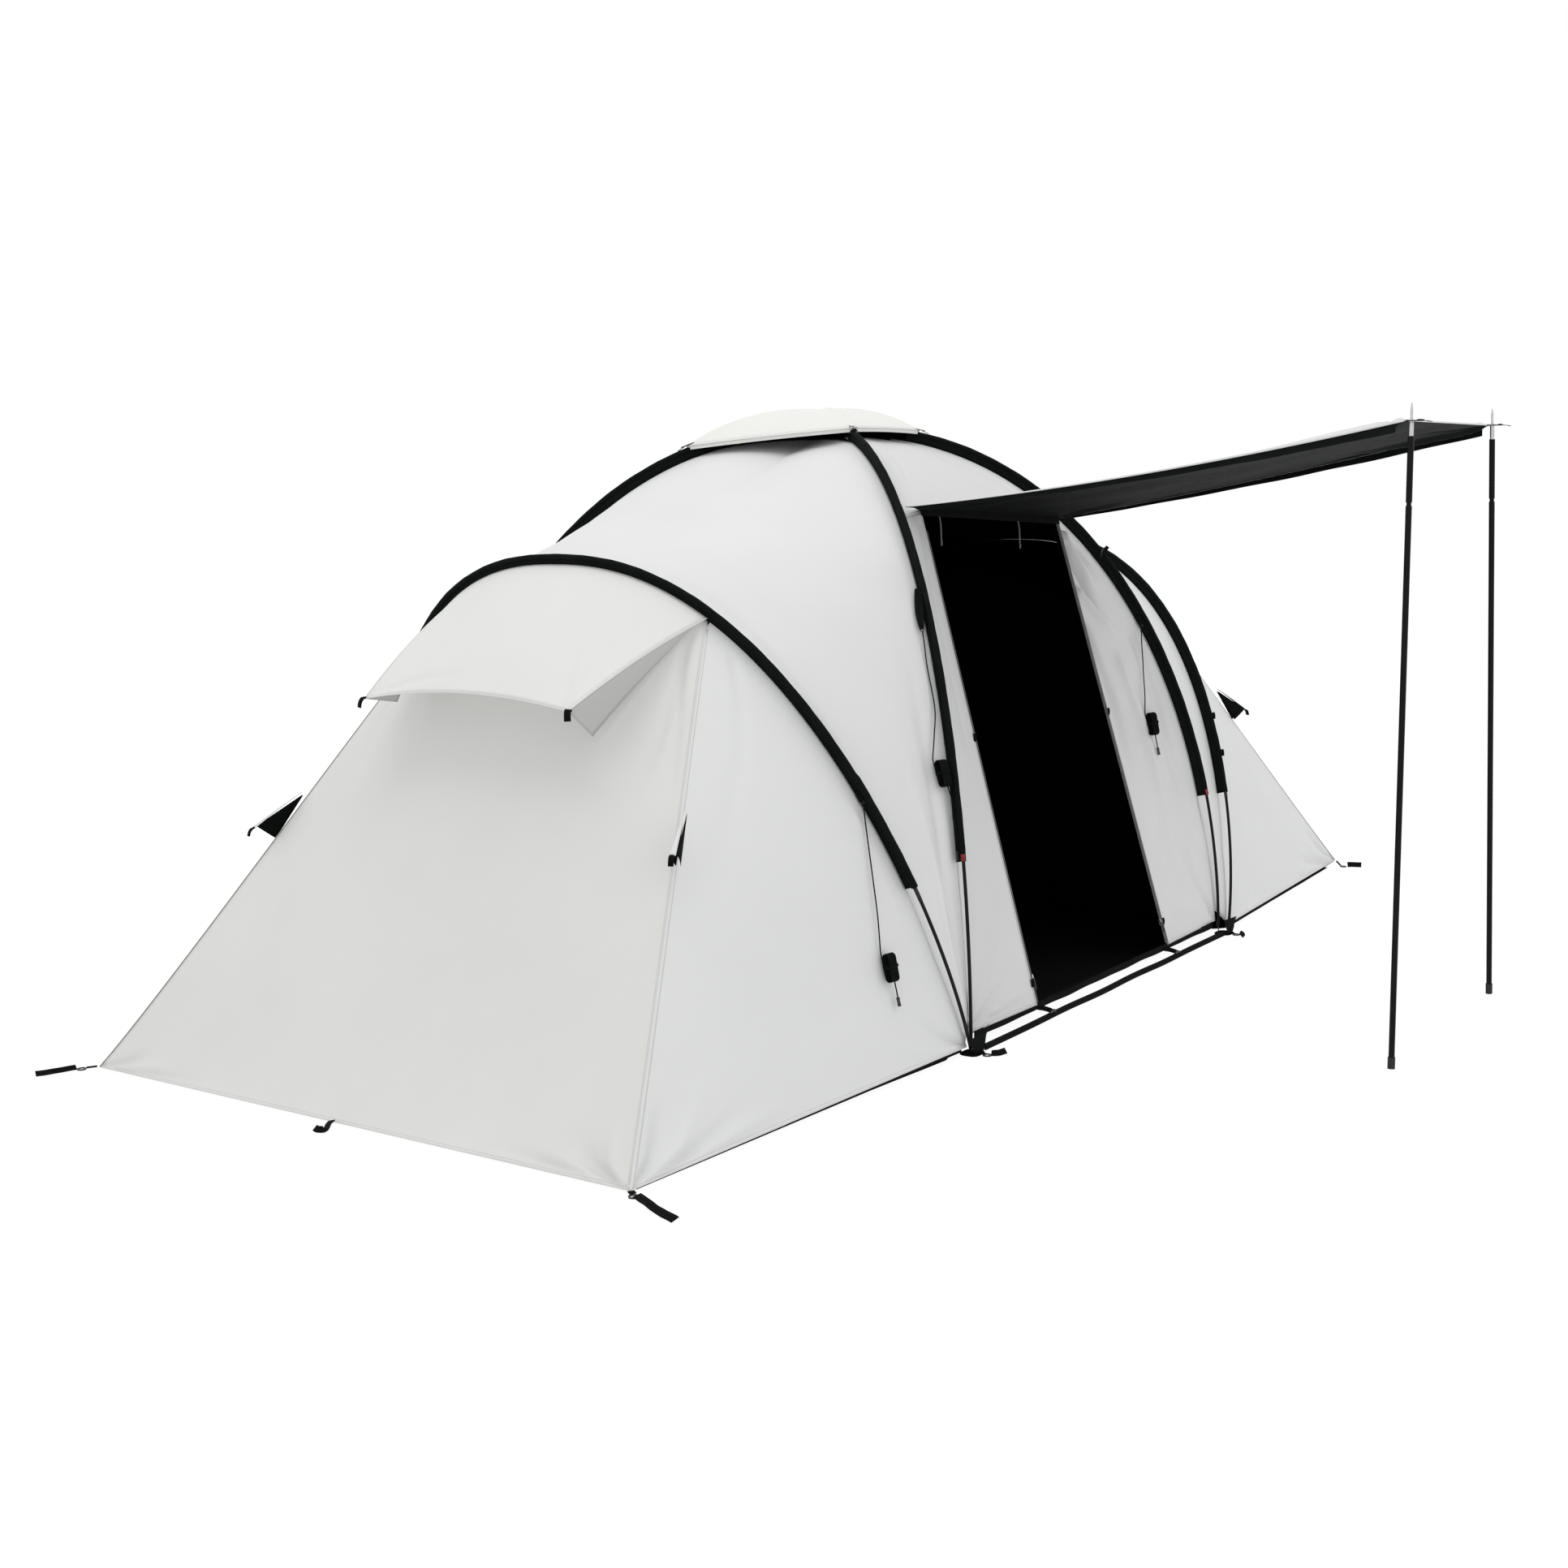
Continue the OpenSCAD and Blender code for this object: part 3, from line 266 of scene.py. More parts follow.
        # stitched rows: (offset from the middle in m, colour)
        off, tcol = thread
        sep = nt.nodes.new("ShaderNodeSeparateXYZ")
        L.new(tc.outputs["UV"], sep.inputs[0])
        ab = nt.nodes.new("ShaderNodeMath")
        ab.operation = "ABSOLUTE"
        L.new(sep.outputs["Y"], ab.inputs[0])
        cmp_ = nt.nodes.new("ShaderNodeMath")
        cmp_.operation = "COMPARE"
        cmp_.inputs[1].default_value = off
        cmp_.inputs[2].default_value = 0.0005
        L.new(ab.outputs[0], cmp_.inputs[0])
        mo = nt.nodes.new("ShaderNodeMath")
        mo.operation = "PINGPONG"
        mo.inputs[1].default_value = 0.0022
        L.new(sep.outputs["X"], mo.inputs[0])
        gt = nt.nodes.new("ShaderNodeMath")
        gt.operation = "GREATER_THAN"
        gt.inputs[1].default_value = 0.0007
        L.new(mo.outputs[0], gt.inputs[0])
        both = nt.nodes.new("ShaderNodeMath")
        both.operation = "MULTIPLY"
        L.new(cmp_.outputs[0], both.inputs[0])
        L.new(gt.outputs[0], both.inputs[1])
        mx = nt.nodes.new("ShaderNodeMix")
        mx.data_type = "RGBA"
        L.new(both.outputs[0], mx.inputs["Factor"])
        L.new(colour_out, mx.inputs["A"])
        mx.inputs["B"].default_value = (*tcol, 1)
        colour_out = mx.outputs["Result"]
        bump(both.outputs[0], 0.6, 0.0006)
    L.new(colour_out, b.inputs["Base Color"])
    if last is not None:
        L.new(last, b.inputs["Normal"])
    b.inputs["Metallic"].default_value = metal
    if sheen:
        b.inputs["Sheen Weight"].default_value = sheen
        b.inputs["Sheen Roughness"].default_value = 0.4
    if coat:
        b.inputs["Coat Weight"].default_value = coat
    if spec is not None:
        b.inputs["Specular IOR Level"].default_value = spec
    mt.diffuse_color = (*colour, 1)
    return mt


FLY_BUMPS = ((9, 0.10, 0.006), (60, 0.05, 0.0012), (900, 0.05, 0.0002))
FLY_WEAVE = (700, 0.15, 0.00012)
WHITE = material("fly_white", (0.622, 0.624, 0.630), 0.62, var=0.012, bumps=FLY_BUMPS, weave=FLY_WEAVE, edge=True, spec=0.25)
# a little brighter copy of the white fly cloth for the roof: painted light from above
ROOF_LIT = material("fly_roof_painted_light", (0.628, 0.628, 0.632), 0.62, var=0.015, bumps=FLY_BUMPS, weave=FLY_WEAVE, edge=True, spec=0.25)
CREAM = material("fly_cream", (0.603, 0.604, 0.593), 0.64, var=0.015, bumps=FLY_BUMPS, weave=FLY_WEAVE, edge=True, spec=0.25)
# brighter copy of the white fly cloth for the rain cap: painted light on the top
CAP = material("fly_cap_painted_light", (0.675, 0.675, 0.655), 0.6, var=0.01, bumps=FLY_BUMPS, weave=FLY_WEAVE, edge=True, spec=0.25)
# darker copies of the white fly cloth for the front panels: painted shade on the front face
FRONT_RIGHT_SHADED = material("fly_shaded_panel", (0.59, 0.591, 0.588), 0.6, var=0.03, bumps=((16, 0.25, 0.008), (60, 0.1, 0.0015), (900, 0.05, 0.0002)), weave=FLY_WEAVE, edge=True, spec=0.25)
FRONT_SHADED = material("fly_front_painted_shade", (0.57, 0.57, 0.572), 0.62, var=0.02, bumps=FLY_BUMPS, weave=FLY_WEAVE, edge=True, spec=0.25)
# brighter copy of the cream end-wall cloth for the hoods: painted light on their upward faces
HOOD = material("fly_hood", (0.632, 0.633, 0.620), 0.62, var=0.012, bumps=FLY_BUMPS, weave=FLY_WEAVE, edge=True, spec=0.25)
# darker copy of the hood cloth: painted shade for the cheeks under the hood
CHEEK_PAINTED_SHADE = material("hood_cheek_painted_shade", (0.46, 0.46, 0.452), 0.62, var=0.02, bumps=FLY_BUMPS, weave=FLY_WEAVE, spec=0.2)
HOOD_UNDERSIDE_GLOW = material("fly_hood_inner_painted_glow", (0.632, 0.633, 0.620), 0.62, var=0.012, bumps=FLY_BUMPS, weave=FLY_WEAVE, spec=0.2)
# painted light: the hood's underside glows faintly, so that it and the wall beneath it look less shaded
HOOD_UNDERSIDE_GLOW.node_tree.nodes["Principled BSDF"].inputs["Emission Color"].default_value = (1, 1, 0.985, 1)
HOOD_UNDERSIDE_GLOW.node_tree.nodes["Principled BSDF"].inputs["Emission Strength"].default_value = 0.42
LINING = material("blackout_lining", (0.003, 0.0034, 0.0033), 0.85, var=0.2, bumps=((25, 0.25, 0.004), (600, 0.1, 0.0003)), weave=(600, 0.2, 0.0001), spec=0.04)
UNDER = material("awning_underside", (0.0048, 0.0062, 0.0053), 0.75, var=0.3, var_scale=6, bumps=((14, 0.5, 0.008), (70, 0.2, 0.002), (900, 0.05, 0.0002)), weave=(600, 0.2, 0.0001), spec=0.07)
SLEEVE_M = material("sleeve_black", (0.0042, 0.005, 0.005), 0.75, var=0.25, var_scale=20, bumps=((45, 0.35, 0.002), (500, 0.2, 0.0004)), weave=(500, 0.3, 0.0002), spec=0.06, thread=(0.0125, (0.015, 0.015, 0.015)))
WEB = material("webbing_black", (0.0045, 0.005, 0.005), 0.85, var=0.25, var_scale=30, bumps=((300, 0.3, 0.0005),), weave=(330, 0.7, 0.0006), spec=0.05, thread=(0.0065, (0.018, 0.018, 0.018)))
RED = material("end_tab_red", (0.20, 0.008, 0.008), 0.6, var=0.1, weave=(400, 0.5, 0.0004))
HEM_BLACK = material("hem_black", (0.0045, 0.005, 0.005), 0.85, var=0.25, bumps=((60, 0.3, 0.002), (500, 0.2, 0.0003)), weave=(450, 0.4, 0.0003), spec=0.05, thread=(0.009, (0.015, 0.015, 0.015)))
PIPING = material("piping_grey", (0.16, 0.162, 0.165), 0.6, var=0.08, weave=(400, 0.5, 0.0003))
TIE = material("tie_tape", (0.10, 0.102, 0.105), 0.65, var=0.08, weave=(450, 0.5, 0.0003), thread=(0.0028, (0.2, 0.2, 0.2)))
ZIPTAPE = material("zip_tape", (0.05, 0.051, 0.053), 0.7, var=0.15, weave=(500, 0.5, 0.0003))
ZIPTEETH = material("zip_coil", (0.10, 0.10, 0.105), 0.4, var=0.15, bumps=((400, 0.2, 0.0003),))
ZIPMETAL = material("zip_metal", (0.42, 0.42, 0.43), 0.32, metal=1.0, var=0.1, var_scale=60, bumps=((500, 0.15, 0.0002),))
PULL = material("puller_cord", (0.01, 0.01, 0.011), 0.7, var=0.2, weave=(500, 0.6, 0.0005))
FIBRE = material("glass_fibre_black", (0.006, 0.0063, 0.0066), 0.4, var=0.15, var_scale=15, bumps=((250, 0.12, 0.0002),), coat=0.0, spec=0.12)
FERRULE = material("ferrule_dark_steel", (0.035, 0.035, 0.037), 0.4, metal=1.0, var=0.08, var_scale=40, bumps=((300, 0.1, 0.0002),))
RINGS = material("ring_dark_steel", (0.06, 0.06, 0.062), 0.35, metal=1.0, var=0.10, var_scale=40, bumps=((260, 0.12, 0.0002),))
STEEL = material("zinc_steel", (0.56, 0.56, 0.57), 0.27, metal=1.0, var=0.10, var_scale=40, bumps=((260, 0.12, 0.0002),))
COATED = material("black_coated_steel", (0.005, 0.005, 0.0055), 0.35, var=0.2, var_scale=25, bumps=((350, 0.18, 0.0002),), coat=0.0, spec=0.10)
RUBBER = material("foot_rubber", (0.012, 0.012, 0.012), 0.85, var=0.2, var_scale=30, bumps=((200, 0.35, 0.0005),))
PLASTIC = material("buckle_plastic", (0.006, 0.006, 0.0065), 0.4, var=0.15, var_scale=40, bumps=((300, 0.15, 0.0002),), coat=0.1)
CORD = material("guy_cord", (0.005, 0.0055, 0.0055), 0.85, var=0.25, var_scale=60, bumps=((700, 0.6, 0.0006),), spec=0.06)
ELASTIC = material("shock_elastic", (0.5, 0.5, 0.5), 0.7, var=0.1, bumps=((600, 0.4, 0.0003),))
# black coil of the inner door zip, made darker still: painted shade inside the tent
INNER_ZIP = material("inner_zip_coil_painted_shade", (0.003, 0.003, 0.0033), 0.7, var=0.2, bumps=((400, 0.2, 0.0003),), spec=0.03)
MESH = material("insect_mesh", (0.010, 0.010, 0.010), 0.8, var=0.2, weave=(420, 1.0, 0.0006), spec=0.1)
FLOOR_PE = material("groundsheet_pe", (0.004, 0.004, 0.0045), 0.8, var=0.15, bumps=((12, 0.4, 0.006), (120, 0.3, 0.001)), weave=(300, 0.5, 0.0003), spec=0.05)
# inner tent cloth and door: black cloth, made darker still as painted shade inside the tent
INNER = material("inner_polyester_painted_shade", (0.0016, 0.0017, 0.0018), 0.9, var=0.15, bumps=((10, 0.3, 0.01), (500, 0.15, 0.0003)), weave=(600, 0.3, 0.0002), edge=True, spec=0.02)
INNER_DOOR = material("inner_door", (0.0022, 0.0023, 0.0025), 0.9, var=0.15, bumps=((14, 0.4, 0.01), (500, 0.15, 0.0003)), weave=(600, 0.3, 0.0002), spec=0.02)

for n, mt in {
    "pole_foot_pins": RINGS, "peg_rings": RINGS,
    "awning_pole_left_upper": COATED, "awning_pole_right_upper": COATED,
    "awning_pole_left_lower": COATED, "awning_pole_right_lower": COATED,
    "awning_pole_left_spike": STEEL, "awning_pole_right_spike": STEEL,
    "awning_pole_left_foot": RUBBER, "awning_pole_right_foot": RUBBER,
}.items():
    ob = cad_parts[n]
    ob.data.materials.clear()
    ob.data.materials.append(mt)


# ------------------------------------------------------------------ mesh building
class Build:
    """Collects parts of one piece; everything is in mm about the tent's middle."""

    def __init__(self):
        self.v, self.f, self.mi, self.uv, self.at = [], [], [], [], []
        self.k = 0

    def add(self, verts, faces, mat=0, uv=None, edge=None, mirror=(1, 1)):
        verts = np.asarray(verts, float).reshape(-1, 3) * V(mirror[0], mirror[1], 1)
        flip = mirror[0] * mirror[1] < 0
        uv = np.zeros((len(verts), 2)) if uv is None else np.asarray(uv, float).reshape(-1, 2)
        edge = np.full(len(verts), 1.0) if edge is None else np.asarray(edge, float).reshape(-1)
        self.v.append(verts)
        self.uv.append(uv)
        self.at.append(edge)
        for i, f in enumerate(faces):
            g = [int(x) + self.k for x in f]
            self.f.append(g[::-1] if flip else g)
            self.mi.append(mat if np.isscalar(mat) else int(mat[i]))
        self.k += len(verts)
        return self

    def obj(self, name, mats, body="tent", replaces=(), slot=None, smooth_faces=True, bevel=None, auto=None):
        me = bpy.data.meshes.new(name)
        P = out_m(np.vstack(self.v))
        me.from_pydata(P.tolist(), [], self.f)
        me.polygons.foreach_set("material_index", self.mi)
        me.polygons.foreach_set("use_smooth", [smooth_faces] * len(self.f))
        uvl = me.uv_layers.new(name="UVMap")
        uvs = np.vstack(self.uv)
        loops = np.zeros(len(me.loops), np.int32)
        me.loops.foreach_get("vertex_index", loops)
        uvl.data.foreach_set("uv", uvs[loops].astype(np.float32).ravel())
        at = me.attributes.new("edge", "FLOAT", "POINT")
        at.data.foreach_set("value", np.concatenate(self.at).astype(np.float32))
        for mt in mats:
            me.materials.append(mt)
        me.update()
        ob = bpy.data.objects.new(name, me)
        bpy.context.scene.collection.objects.link(ob)
        if auto is not None:
            me.set_sharp_from_angle(angle=math.radians(auto))
        if bevel:
            bv = ob.modifiers.new("bevel", "BEVEL")
            bv.width, bv.segments, bv.limit_method = bevel / 1000, 2, "ANGLE"
            bv.angle_limit = math.radians(40)
        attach(ob, body)
        if replaces:
            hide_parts(*replaces)
        return ob


def loft_faces(m, n, closed=True, caps=True):
    """Faces of m+1 rings of n points; outward if the points go anticlockwise seen against the travel."""
    f = []
    for i in range(m):
        for j in range(n if closed else n - 1):
            a, b = i * n + j, i * n + (j + 1) % n
            f.append([a, b, b + n, a + n])
    if caps and closed:
        f.append(list(range(n - 1, -1, -1)))
        f.append(list(range(m * n, m * n + n)))
    return f


def frames(P, side):
    """Per point of a line: travel direction, a side axis near the given one, and their normal."""
    P = np.asarray(P, float)
    d = np.empty_like(P)
    d[1:-1] = P[2:] - P[:-2]
    d[0], d[-1] = P[1] - P[0], P[-1] - P[-2]
    d = unit(d)
    s = np.broadcast_to(np.asarray(side, float), P.shape)
    s = unit(s - d * (s * d).sum(1, keepdims=True))
    return d, s, np.cross(d, s)


def travel(P):
    P = np.asarray(P, float)
    return np.concatenate([[0], np.cumsum(np.linalg.norm(np.diff(P, axis=0), axis=1))])


def tube(b, P, r, n=12, mat=0, mirror=(1, 1), r_of=None, caps=True):
    P = np.asarray(P, float)
    d = unit(np.gradient(P, axis=0))
    s = np.cross(d[0], [0.3, 0.5, 0.81])
    S = []
    for i in range(len(P)):
        s = s - d[i] * (s @ d[i])
        s = s / np.linalg.norm(s)
        S.append(s)
    S = np.array(S)
    T = np.cross(d, S)
    L = travel(P)
    rr = np.full(len(P), r) if r_of is None else np.array([r_of(x) for x in L / L[-1]])
    a = np.arange(n) * 2 * math.pi / n
    R = P[:, None] + rr[:, None, None] * (S[:, None] * np.cos(a)[None, :, None] + T[:, None] * np.sin(a)[None, :, None])
    uv = np.stack([np.repeat(L / 1000, n), np.tile(a * r / 1000, len(P))], 1)
    return b.add(R, loft_faces(len(P) - 1, n, caps=caps), mat, uv, None, mirror)


def ribbon(b, P, face, w, t, mat=0, mirror=(1, 1), wave=0.0, n_sub=8, w_of=None, raw=False):
    """Webbing w wide and t thick whose face looks towards face, through smoothed points."""
    C = np.asarray(P, float) if raw else cat(P, n_sub)
    d = unit(np.gradient(C, axis=0))
    fc = np.asarray(face, float)
    fc = np.broadcast_to(fc, C.shape)
    nrm = unit(fc - d * (fc * d).sum(1, keepdims=True))
    s = np.cross(d, nrm)
    L = travel(C)
    if wave:
        C = C + nrm * (np.sin(L / 9.0) * wave)[:, None]
    prof = [(-0.5, 0.12), (-0.46, 0.5), (-0.25, 0.46), (0, 0.5), (0.25, 0.46), (0.46, 0.5), (0.5, 0.12),
            (0.5, -0.12), (0.46, -0.5), (0.25, -0.46), (0, -0.5), (-0.25, -0.46), (-0.46, -0.5), (-0.5, -0.12)]
    prof = prof[::-1]
    rings, uv = [], []
    for i in range(len(C)):
        ww = w if w_of is None else w_of(L[i] / max(L[-1], 1e-9))
        for x, y in prof:
            rings.append(C[i] + s[i] * x * ww + nrm[i] * y * t)
            uv.append((L[i] / 1000, x * ww / 1000))
    # s x nrm = travel, so the ring is turned to face outward
    return b.add(rings, loft_faces(len(C) - 1, len(prof)), mat, uv, None, mirror)


def prism(b, poly, o, ex, ey, t, mat=0, mirror=(1, 1)):
    """Flat plate: 2D points in the plane of ex and ey from o, t thick both ways."""
    o, ex, ey = A(o, float), A(ex, float), A(ey, float)
    nz = np.cross(ex, ey)
    top = [o + ex * x + ey * y + nz * t / 2 for x, y in poly]
    bot = [o + ex * x + ey * y - nz * t / 2 for x, y in poly]
    n = len(poly)
    f = [list(range(n)), list(range(2 * n - 1, n - 1, -1))]
    f += [[i, n + i, n + (i + 1) % n, (i + 1) % n] for i in range(n)]
    uv = [(x / 1000, y / 1000) for x, y in poly] * 2
    return b.add(top + bot, f, mat, uv, None, mirror)


def grid_normals(P):
    gi = np.gradient(P, axis=0)
    gj = np.gradient(P, axis=1)
    return unit(np.cross(gi, gj))


def shell(b, P, t=1.2, mats=(0, 1), mirror=(1, 1), edge_sides=(1, 1, 1, 1), closed_j=False):
    """Closed cloth under a grid of points; its outside is where the grid's normals look."""
    m_, n_ = P.shape[0] - 1, P.shape[1] - 1
    Nn = grid_normals(P)
    Q = P - Nn * t
    li = np.cumsum(np.concatenate([np.zeros((1, n_ + 1)), np.linalg.norm(np.diff(P, axis=0), axis=2)]), axis=0)
    lj = np.cumsum(np.concatenate([np.zeros((m_ + 1, 1)), np.linalg.norm(np.diff(P, axis=1), axis=2)], axis=1), axis=1)
    big = 1e4
    e = np.full(P.shape[:2], big)
    if edge_sides[0]:
        e = np.minimum(e, li)
    if edge_sides[1]:
        e = np.minimum(e, li[-1:] - li)
    if edge_sides[2]:
        e = np.minimum(e, lj)
    if edge_sides[3]:
        e = np.minimum(e, lj[:, -1:] - lj)
    uv = np.stack([lj - lj.mean(1, keepdims=True), li], 2) / 1000

    def idx(i, j):
        return i * (n_ + 1) + j

    K = (m_ + 1) * (n_ + 1)
    F, M = [], []
    for i in range(m_):
        for j in range(n_):
            a, bq, c, d = idx(i, j), idx(i, j + 1), idx(i + 1, j + 1), idx(i + 1, j)
            F.append([a, d, c, bq])
            M.append(mats[0])
            F.append([K + a, K + bq, K + c, K + d])
            M.append(mats[1])
    for i in range(m_):
        a, d = idx(i, 0), idx(i + 1, 0)
        F.append([a, K + a, K + d, d])
        M.append(mats[0])
        a, d = idx(i, n_), idx(i + 1, n_)
        F.append([d, K + d, K + a, a])
        M.append(mats[0])
    for j in range(n_):
        a, c = idx(0, j), idx(0, j + 1)
        F.append([c, K + c, K + a, a])
        M.append(mats[0])
        a, c = idx(m_, j), idx(m_, j + 1)
        F.append([a, K + a, K + c, c])
        M.append(mats[0])
    return b.add(np.concatenate([P.reshape(-1, 3), Q.reshape(-1, 3)]), F, M,
                 np.concatenate([uv.reshape(-1, 2)] * 2), np.concatenate([e.reshape(-1), np.full(K, big)]) / 1000, mirror)


def waves(P, amp, size, seed):
    """Gentle uneven waves over the cloth, always the same for one seed."""
    g = np.random.default_rng(seed)
    h = np.zeros(P.shape[:2])
    for _ in range(7):
        k = unit(g.normal(size=3)) * (2 * math.pi / (size * g.uniform(0.6, 1.8)))
        h += np.sin(P @ k + g.uniform(0, 6.28))
    return h * amp / 7 * 1.6


def fold(P, line, a, w0, w1=None, tail=0.6, head=0.06):
    """Height of one fold or crease over the grid: line is its points, a its height (below 0 for a valley)."""
    w1 = w0 if w1 is None else w1
    line = np.asarray(line, float)
    L = travel(line)
    best = np.full(P.shape[:2], 1e9)
    s = np.zeros(P.shape[:2])
    for i in range(len(line) - 1):
        p, q = line[i], line[i + 1]
        d = q - p
        t = np.clip(((P - p) @ d) / max(d @ d, 1e-9), 0, 1)
        r = np.linalg.norm(P - (p + t[..., None] * d), axis=2)
        near = r < best
        best = np.where(near, r, best)
        s = np.where(near, (L[i] + t * (L[i + 1] - L[i])) / L[-1], s)
    w = w0 + (w1 - w0) * s
    env = smooth(s / head) if head > 0 else 1.0
    env = env * smooth((1 - s) / tail)
    return a * np.exp(-((best / w) ** 2)) * env


def edge_fade(P, width=30.0, sides=(1, 1, 1, 1)):
    li = np.cumsum(np.concatenate([np.zeros((1, P.shape[1])), np.linalg.norm(np.diff(P, axis=0), axis=2)]), axis=0)
    lj = np.cumsum(np.concatenate([np.zeros((P.shape[0], 1)), np.linalg.norm(np.diff(P, axis=1), axis=2)], axis=1), axis=1)
    e = np.full(P.shape[:2], 1e9)
    for on, d in zip(sides, (li, li[-1:] - li, lj, lj[:, -1:] - lj)):
        if on:
            e = np.minimum(e, d)
    return smooth(e / width)


def dense(n, power=1.0):
    """0 to 1 in n steps, closer together at both ends."""
    t = np.linspace(0, 1, n + 1)
    return t + (smooth(t) - t) * power


# ------------------------------------------------------------------ guy lines first
def hank_frame(h):
    c, lean, turn = V(*h[0]), math.radians(-h[1]), math.radians(h[2])
    Rx = A([[1, 0, 0], [0, math.cos(lean), -math.sin(lean)], [0, math.sin(lean), math.cos(lean)]])
    Rz = A([[math.cos(turn), -math.sin(turn), 0], [math.sin(turn), math.cos(turn), 0], [0, 0, 1]])
    R = Rz @ Rx
    return lambda p: np.asarray(p, float) @ R.T + c


LINES = {
    "arch": [[-1279, -962, 802], [-1286, -975, 735], [-1297, -992, 668], [-1313, -1014, 590], [-1335, -1044, 478], [-1354, -1064, 382]],
    "cross": [[-773, -868, 1272], [-785, -882, 1232], [-808, -905, 1165], [-848, -955, 1043], [-887, -976, 965], [-925, -992, 893]],
    "right": [[748, -916, 1190], [737, -923, 1130], [727, -932, 1080], [714, -942, 1017], [698, -956, 940], [682, -964, 880]],
}
HANKS = {"arch": ([-1340, -1091, 333], 14.5, -9.5), "cross": ([-914, -1023, 849], 19, -14), "right": ([693, -991, 834], 14.5, -14.5)}
TAIL_CROSS = [[-898, -1032, 798], [-908, -1051, 765], [-917, -1062, 720], [-925, -1074, 660], [-932, -1082, 618]]
TURN = 2 * 58 + 2 * math.pi * 12


def stadium(s):
    s = s % TURN
    if s < 58:
        return 12, 29 - s
    s -= 58
    if s < math.pi * 12:
        return 12 * math.cos(s / 12), -29 - 12 * math.sin(s / 12)
    s -= math.pi * 12
    if s < 58:
        return -12, -29 + s
    s -= 58
    return -12 * math.cos(s / 12), 29 + 12 * math.sin(s / 12)


def hank_local():
    full = 8 * TURN + 58
    steps = []
    for k in range(9):
        base = k * TURN
        cuts = [0, 15, 29, 44]
        cuts += [58 + math.pi * 12 * j / 10 for j in range(11)]
        cuts += [58 + math.pi * 12 + x for x in (15, 29, 44)]
        cuts += [116 + math.pi * 12 + math.pi * 12 * j / 10 for j in range(10)]
        steps += [base + c for c in cuts if base + c <= full + 1e-6]
    if steps[-1] < full - 1:
        steps.append(full)
    out = []
    for s in steps:
        y, z = stadium(s) if s < full - 1e-6 else (12, -29)
        out.append((-18 + 35 * s / full, y, z))
    return out


for key in ("arch", "cross", "right"):
    to = hank_frame(HANKS[key])
    line = cat(LINES[key], 6)
    wound = to(hank_local())
    join = cat([line[-2], line[-1], to([-18, 12, 41]), wound[0], wound[1]], 4)[5:12]
    if key == "cross":
        end = np.vstack([to([(17, 12, -38)]), cat(TAIL_CROSS, 4), [[-933, -1084, 606]]])
    else:
        end = to([(17, 12, -40), (17, 12, -52), (17, 12, -64), (17, 12, -76), (17, 12, -88), (17, 12, -98), (17, 12, -108)])
    path = [*line, *[p for p in join if np.linalg.norm(p - line[-1]) > 3 and np.linalg.norm(p - wound[0]) > 3], *wound, *end]
    path = np.array(path)
    keep = [0]
    for i in range(1, len(path)):
        if np.linalg.norm(path[i] - path[keep[-1]]) > 1.2:
            keep.append(i)
    path = path[keep]
    cu = bpy.data.curves.new("guy_cord_" + key, "CURVE")
    cu.dimensions = "3D"
    sp = cu.splines.new("POLY")
    sp.points.add(len(path) - 1)
    for i, p in enumerate(out_m(path)):
        sp.points[i].co = (*p, 1)
    cu.bevel_depth = 0.002
    cu.bevel_resolution = 3
    cu.use_fill_caps = True
    cu.materials.append(CORD)
    ob = bpy.data.objects.new("guy_cord_" + key, cu)
    bpy.context.scene.collection.objects.link(ob)
    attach(ob, "tent")
    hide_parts("guy_line_" + key, "guy_hank_" + key)

# runners and ties that go with the cords
for key in ("arch", "cross", "right"):
    b = Build()
    if key == "cross":
        a1, a2 = math.radians(-10), math.radians(-14)
        Rx = A([[1, 0, 0], [0, math.cos(a1), -math.sin(a1)], [0, math.sin(a1), math.cos(a1)]])
        Rz = A([[math.cos(a2), -math.sin(a2), 0], [math.sin(a2), math.cos(a2), 0], [0, 0, 1]])
        c = V(-933, -1084, 600)
        R = Rz @ Rx
        to = lambda p, R=R, c=c: np.asarray(p, float) @ R.T + c
        z0 = 0.0
    else:
        hf = hank_frame(HANKS[key])
        to = lambda p, hf=hf: hf(np.asarray(p, float) + V(17, 12, -103.5))
    # a waisted plastic runner with two cord holes, bevelled
    prof = [(-3.4, 14), (3.4, 14), (5.4, 11), (4.2, 3), (4.2, -3), (5.6, -11), (3.4, -14), (-3.4, -14), (-5.6, -11), (-4.2, -3), (-4.2, 3), (-5.4, 11)]
    n = len(prof)
    front = [to([x, -2.7, z]) for x, z in prof]
    back = [to([x, 2.7, z]) for x, z in prof]
    F = [list(range(n)), list(range(2 * n - 1, n - 1, -1))] + [[i, n + i, n + (i + 1) % n, (i + 1) % n] for i in range(n)]
    b.add(front + back, F)
    for zc in (-8, 8):
        ring = [to([2.4 * math.cos(x), -2.9, zc + 2.4 * math.sin(x)]) for x in np.linspace(0, 2 * math.pi, 13)[:-1]]
        tube(b, np.array(ring + [ring[0]]), 0.7, 6)
    b.obj("guy_runner_" + key, [PLASTIC], bevel=0.8, auto=40, replaces=["guy_runners"] if key == "arch" else [], slot="black_plastic")
    # the tie round the hank
    hf = hank_frame(HANKS[key])
    ringp = []
    for x in np.linspace(0, 2 * math.pi, 41):
        cx, cy = math.cos(x), math.sin(x)
        ringp.append(hf([21.3 * np.sign(cx) * abs(cx) ** 0.35, 15.2 * np.sign(cy) * abs(cy) ** 0.35, 3 + 2.0 * cx]))
    b = Build()
    C = np.array(ringp)
    centre = C[:-1].mean(0)
    ribbon(b, C, unit(C - centre), 8, 1.2, raw=True)
    tiep = b.obj("guy_tie_" + key, [WEB], slot="black_webbing")

